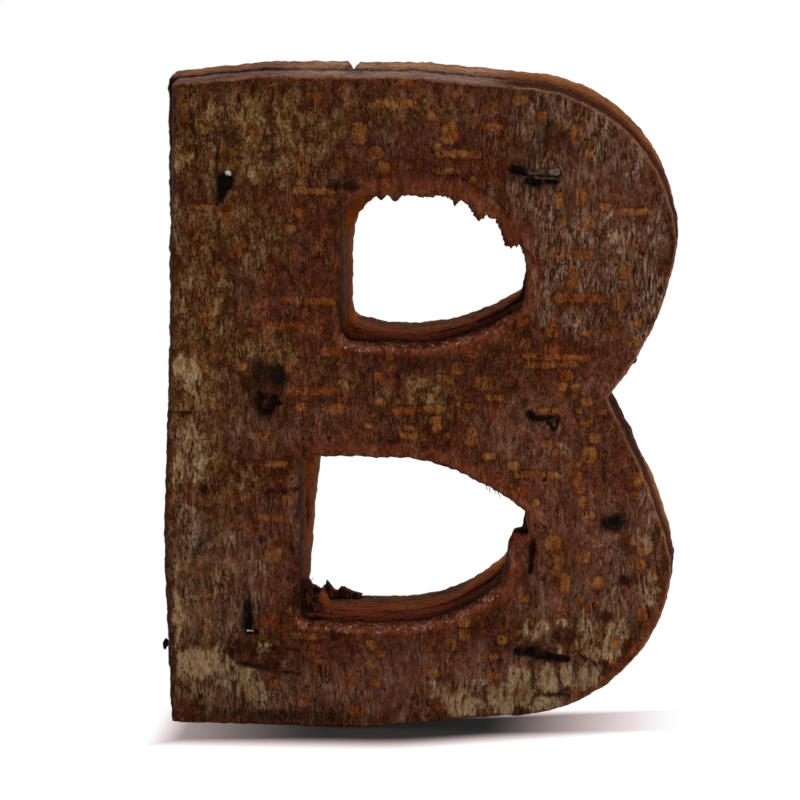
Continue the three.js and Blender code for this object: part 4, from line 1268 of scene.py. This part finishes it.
# The sawn edges: where the joint lies, as a share of the rear ply's thickness, how strong the pale specks,
# painted glints, are, and the tints from the outer skin to the joint, on the sides and on top.
EDGES = {
    "front_edge": (
        FRONT_SHARE, 0.5,
        ((0.0, "#7c4b33"), (0.1, "#5c321d"), (0.3, "#44200f"), (0.45, "#381705"), (0.6, "#683114"),
         (0.84, "#7c3f18")),
        ((0.0, "#b0846c"), (0.1, "#ac806a"), (0.18, "#947065"), (0.55, "#9c7a6e"), (0.7, "#825f50"),
         (0.8, "#3c2211")),
    ),
    "rear_edge": (
        1.0, 0.5,
        ((0.0, "#b98c68"), (0.15, "#a36c46"), (0.45, "#96552e"), (0.7, "#864620"), (0.86, "#783c19"),
         (1.0, "#6c3414")),
        ((0.0, "#a47c6e"), (0.15, "#ac7c63"), (0.4, "#b5805c"), (0.7, "#a26f4f"), (0.86, "#886049"),
         (0.97, "#301a10")),
    ),
    "front_counter_edge": (
        FRONT_SHARE, 0.1,
        ((0.0, "#40200f"), (0.12, "#381a0a"), (0.3, "#4a230c"), (0.5, "#7a3d14"), (0.84, "#86420f")),
        ((0.0, "#783a21"), (0.12, "#723218"), (0.3, "#80381a"), (0.6, "#8a3d1b"), (0.84, "#7a3517")),
    ),
    # The palest side tints, at the back arris, are a painted highlight where that edge catches the light.
    "rear_counter_edge": (
        1.0, 0.1,
        ((0.0, "#dcb898"), (0.06, "#c08a5c"), (0.2, "#a05a28"), (0.6, "#94491a"), (0.9, "#8a4014"),
         (1.0, "#76360f")),
        ((0.0, "#725040"), (0.08, "#5e3b2a"), (0.4, "#583220"), (0.6, "#72381c"), (0.9, "#853c1a"),
         (1.0, "#7a3517")),
    ),
}


def edge_material(name, joint, sparkle, side_stops, top_stops):
    """A sawn edge of bark: layers along the cut, with grain."""
    t = Tree(name)
    wander = t.noise(t.place(0.35, 0.35, 0.35), 4.0, 0.6)
    grain = t.noise(t.place(3.2, 3.2, 3.2), 4.0, 0.65)
    speck = t.noise(t.place(5.5, 5.5, 5.5), 2.0, 0.5)
    layer = t.noise(t.place(0.25, 2.4, 0.25), 3.0, 0.6)
    top, dark = t.mask("top"), t.mask("dark")
    depth = t.math("ADD", t.mask("depth"), t.times(t.math("SUBTRACT", wander, 0.5), 1.6))
    share = t.math("DIVIDE", depth, REAR_FACE - REAR_JOINT)
    colour = t.mix(top, t.ramp(share, *side_stops), t.ramp(share, *top_stops))
    grey = t.blend((layer, 0.6), (grain, 0.4))
    shade = t.ramp(grey, (0.37, "#505050"), (0.48, "#c8c8c8"), (0.6, "#ffffff"))
    colour = t.mix(1.0, colour, shade, "MULTIPLY")
    # Painted glints: pale specks, mostly on top.
    bright = t.times(t.stretch(speck, 0.58, 0.68, 0.0, sparkle), t.stretch(top, 0.0, 1.0, 0.15, 1.0))
    colour = t.mix(bright, colour, linear("#b09c90"))
    colour = t.mix(dark, colour, linear("#d8c6c4"), "MULTIPLY")
    gap = t.times(dark, t.stretch(share, joint - 0.26, joint - 0.08))
    colour = t.mix(gap, colour, linear("#1e0f08"))
    relief = t.blend((layer, 1.0), (grain, 1.2))
    return t.finish({
        "Base Color": colour, "Roughness": 0.6, "Specular IOR Level": 0.02,
        "Normal": t.bump(relief, 0.8, 0.3),
    })


def crumb_material():
    """Dark crumbs and splinters of inner bark; at the lower counter's corner, also painted shade."""
    t = Tree("wet_crumbs")
    tint = t.noise(t.place(2.2, 2.2, 0.9), 4.0, 0.7)
    return t.finish({
        "Base Color": t.ramp(tint, (0.38, "#0c0402"), (0.5, "#260e06"), (0.62, "#5a2a15")),
        "Roughness": 0.6, "Specular IOR Level": 0.05, "Normal": t.bump(tint, 1.0, 0.5),
    })


def steel_material():
    """Staple wire: galvanised steel, tarnished brown, with painted highlights at its right end and on the
    stem.
    """
    t = Tree("staple_wire")
    stain = t.noise(t.place(1.3, 1.3, 1.3), 4.0, 0.6)
    scratch = t.noise(t.place(8.0, 8.0, 8.0), 2.0, 0.5)
    across = t.add("ShaderNodeSeparateXYZ", {0: t.place(1.0, 1.0, 1.0)}).outputs["X"]
    # Painted highlights: lighter wire at these places.
    wear_and_glint = t.most(t.stretch(across, *PAINTED_GLINT_RIGHT, 0.0, 0.1), t.stretch(across, *PAINTED_GLINT_LEFT, 0.0, 0.75))
    tarnish = t.ramp(stain, (0.35, "#1c110b"), (0.5, "#38281e"), (0.65, "#5c4a3e"))
    colour = t.mix(wear_and_glint, tarnish, t.ramp(stain, (0.35, "#8c8580"), (0.6, "#d8d4d0")))
    return t.finish({
        "Base Color": colour, "Metallic": 1.0, "Roughness": t.stretch(stain, 0.3, 0.7, 0.5, 0.28),
        "Normal": t.bump(scratch, 0.3, 0.05),
    })


def floor_material():
    """A floor that is seen as white, except in a strip along the foot, where it keeps a painted shadow."""
    t = Tree("floor")
    path = t.add("ShaderNodeLightPath").outputs
    seen = t.most(path["Is Camera Ray"], t.most(path["Is Glossy Ray"], path["Is Transmission Ray"]))
    where = t.add("ShaderNodeSeparateXYZ", {0: t.place(1.0, 1.0, 1.0)}).outputs
    past = t.math("SUBTRACT", where["X"], SHADOW_BEND)
    bent = t.math("SQRT", t.math("ADD", t.times(past, past), SHADOW_BEND_SOFT ** 2))
    bent = t.times(t.math("ADD", past, bent), 0.5 * (SHADOW_RIGHT_SLOPE - SHADOW_LEFT_SLOPE))
    front = t.math("ADD", t.math("MULTIPLY_ADD", past, SHADOW_LEFT_SLOPE, SHADOW_FRONT), bent)
    ahead = t.stretch(t.math("SUBTRACT", front, where["Y"]), -0.5 * SHADOW_EDGE, 0.5 * SHADOW_EDGE)
    sight = t.math("MULTIPLY_ADD", where["X"], -math.tan(VIEW_AZIMUTH), where["Y"])
    behind = t.stretch(sight, SHADOW_BACK, SHADOW_BACK + SHADOW_BACK_EDGE)
    left = t.most(t.stretch(where["X"], *SHADOW_LEFT_FADE), t.stretch(where["X"], *SHADOW_LEFT_END))
    right = t.stretch(where["X"], *SHADOW_RIGHT_FADE)
    fade = t.most(t.most(ahead, left), t.most(right, behind))
    # Painted shade: the floor is seen darker than the light it throws back.
    diffuse = t.add("ShaderNodeBsdfDiffuse", {"Color": t.stretch(seen, 0.0, 1.0, FLOOR, PAINTED_SHADOW_FLOOR)})
    # Painted shadow: the glow is tinted pink at the shadow's edge.
    glow = t.add("ShaderNodeEmission", {"Color": t.ramp(fade, *PAINTED_SHADOW_TINTS), "Strength": 1.0})
    white = t.times(seen, fade)
    both = t.add("ShaderNodeMixShader", {0: white, 1: diffuse.outputs[0], 2: glow.outputs[0]})
    t.links.new(both.outputs[0], t.output.inputs["Surface"])
    return t.material


# The scene.

def camera():
    """A camera that sees the letter as the photograph does."""
    data = bpy.data.cameras.new("view")
    data.sensor_width = SENSOR
    data.lens = SENSOR * FOCAL_PIXELS / PHOTO_PIXELS
    data.clip_start, data.clip_end = VIEW_CLIP
    item = bpy.data.objects.new("view", data)
    turn = Matrix((RIGHT, UP, BACK)).transposed().to_4x4()
    item.matrix_world = Matrix.Translation(Vector(CAMERA_PLACE * MM)) @ turn
    bpy.context.scene.collection.objects.link(item)
    bpy.context.scene.camera = item


def lamp(name, place, aim, size, watts):
    """A round soft lamp at a place in millimetres, turned to an aim."""
    data = bpy.data.lights.new(name, "AREA")
    data.shape = "DISK"
    data.size = size * MM
    data.energy = watts
    item = bpy.data.objects.new(name, data)
    item.location = Vector(place) * MM
    item.rotation_euler = (Vector(aim) - Vector(place)).to_track_quat("-Z", "Y").to_euler()
    bpy.context.scene.collection.objects.link(item)


def stage():
    """A white floor, soft daylight all round and four soft lamps."""
    mesh = bpy.data.meshes.new("floor")
    corners = [(x * FLOOR_HALF, y * FLOOR_HALF, 0) for x, y in ((-1, -1), (1, -1), (1, 1), (-1, 1))]
    mesh.from_pydata(corners, [], [(0, 1, 2, 3)])
    floor = bpy.data.objects.new("floor", mesh)
    bpy.context.scene.collection.objects.link(floor)
    mesh.materials.append(floor_material())
    world = bpy.data.worlds.new("daylight")
    bpy.context.scene.world = world
    world.use_nodes = True
    background = world.node_tree.nodes["Background"]
    background.inputs["Color"].default_value = (1.0, 1.0, 1.0, 1.0)
    background.inputs["Strength"].default_value = DAYLIGHT
    for name, values in LAMPS.items():
        lamp(name, *values)
    bpy.context.scene.view_settings.view_transform = "Standard"


def dress():
    """The two plies over their CAD solids, and the staples' finish."""
    bark = bark_material()
    edges = {name: edge_material(name, *values) for name, values in EDGES.items()}
    crumbs = crumb_material()
    front = bark_ply("front_bark_ply", "front_bark", FRONT_FACE, front_relief, front_trim, SEED)
    rear = bark_ply("rear_bark_ply", "rear_bark", REAR_FACE, rear_relief, rear_trim, SEED + 1)
    for piece, node, slot, side in (
        (front, "front_bark", "outer_bark", "front"),
        (rear, "rear_bark", "inner_bark", "rear"),
    ):
        for material in (bark, edges[side + "_edge"], edges[side + "_counter_edge"], crumbs):
            piece.data.materials.append(material)
        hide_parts(node)
        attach(piece, "root")
    steel = steel_material()
    for name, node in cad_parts.items():
        if name.startswith("staple"):
            node.data.materials.clear()
            node.data.materials.append(steel)


camera()
stage()
dress()
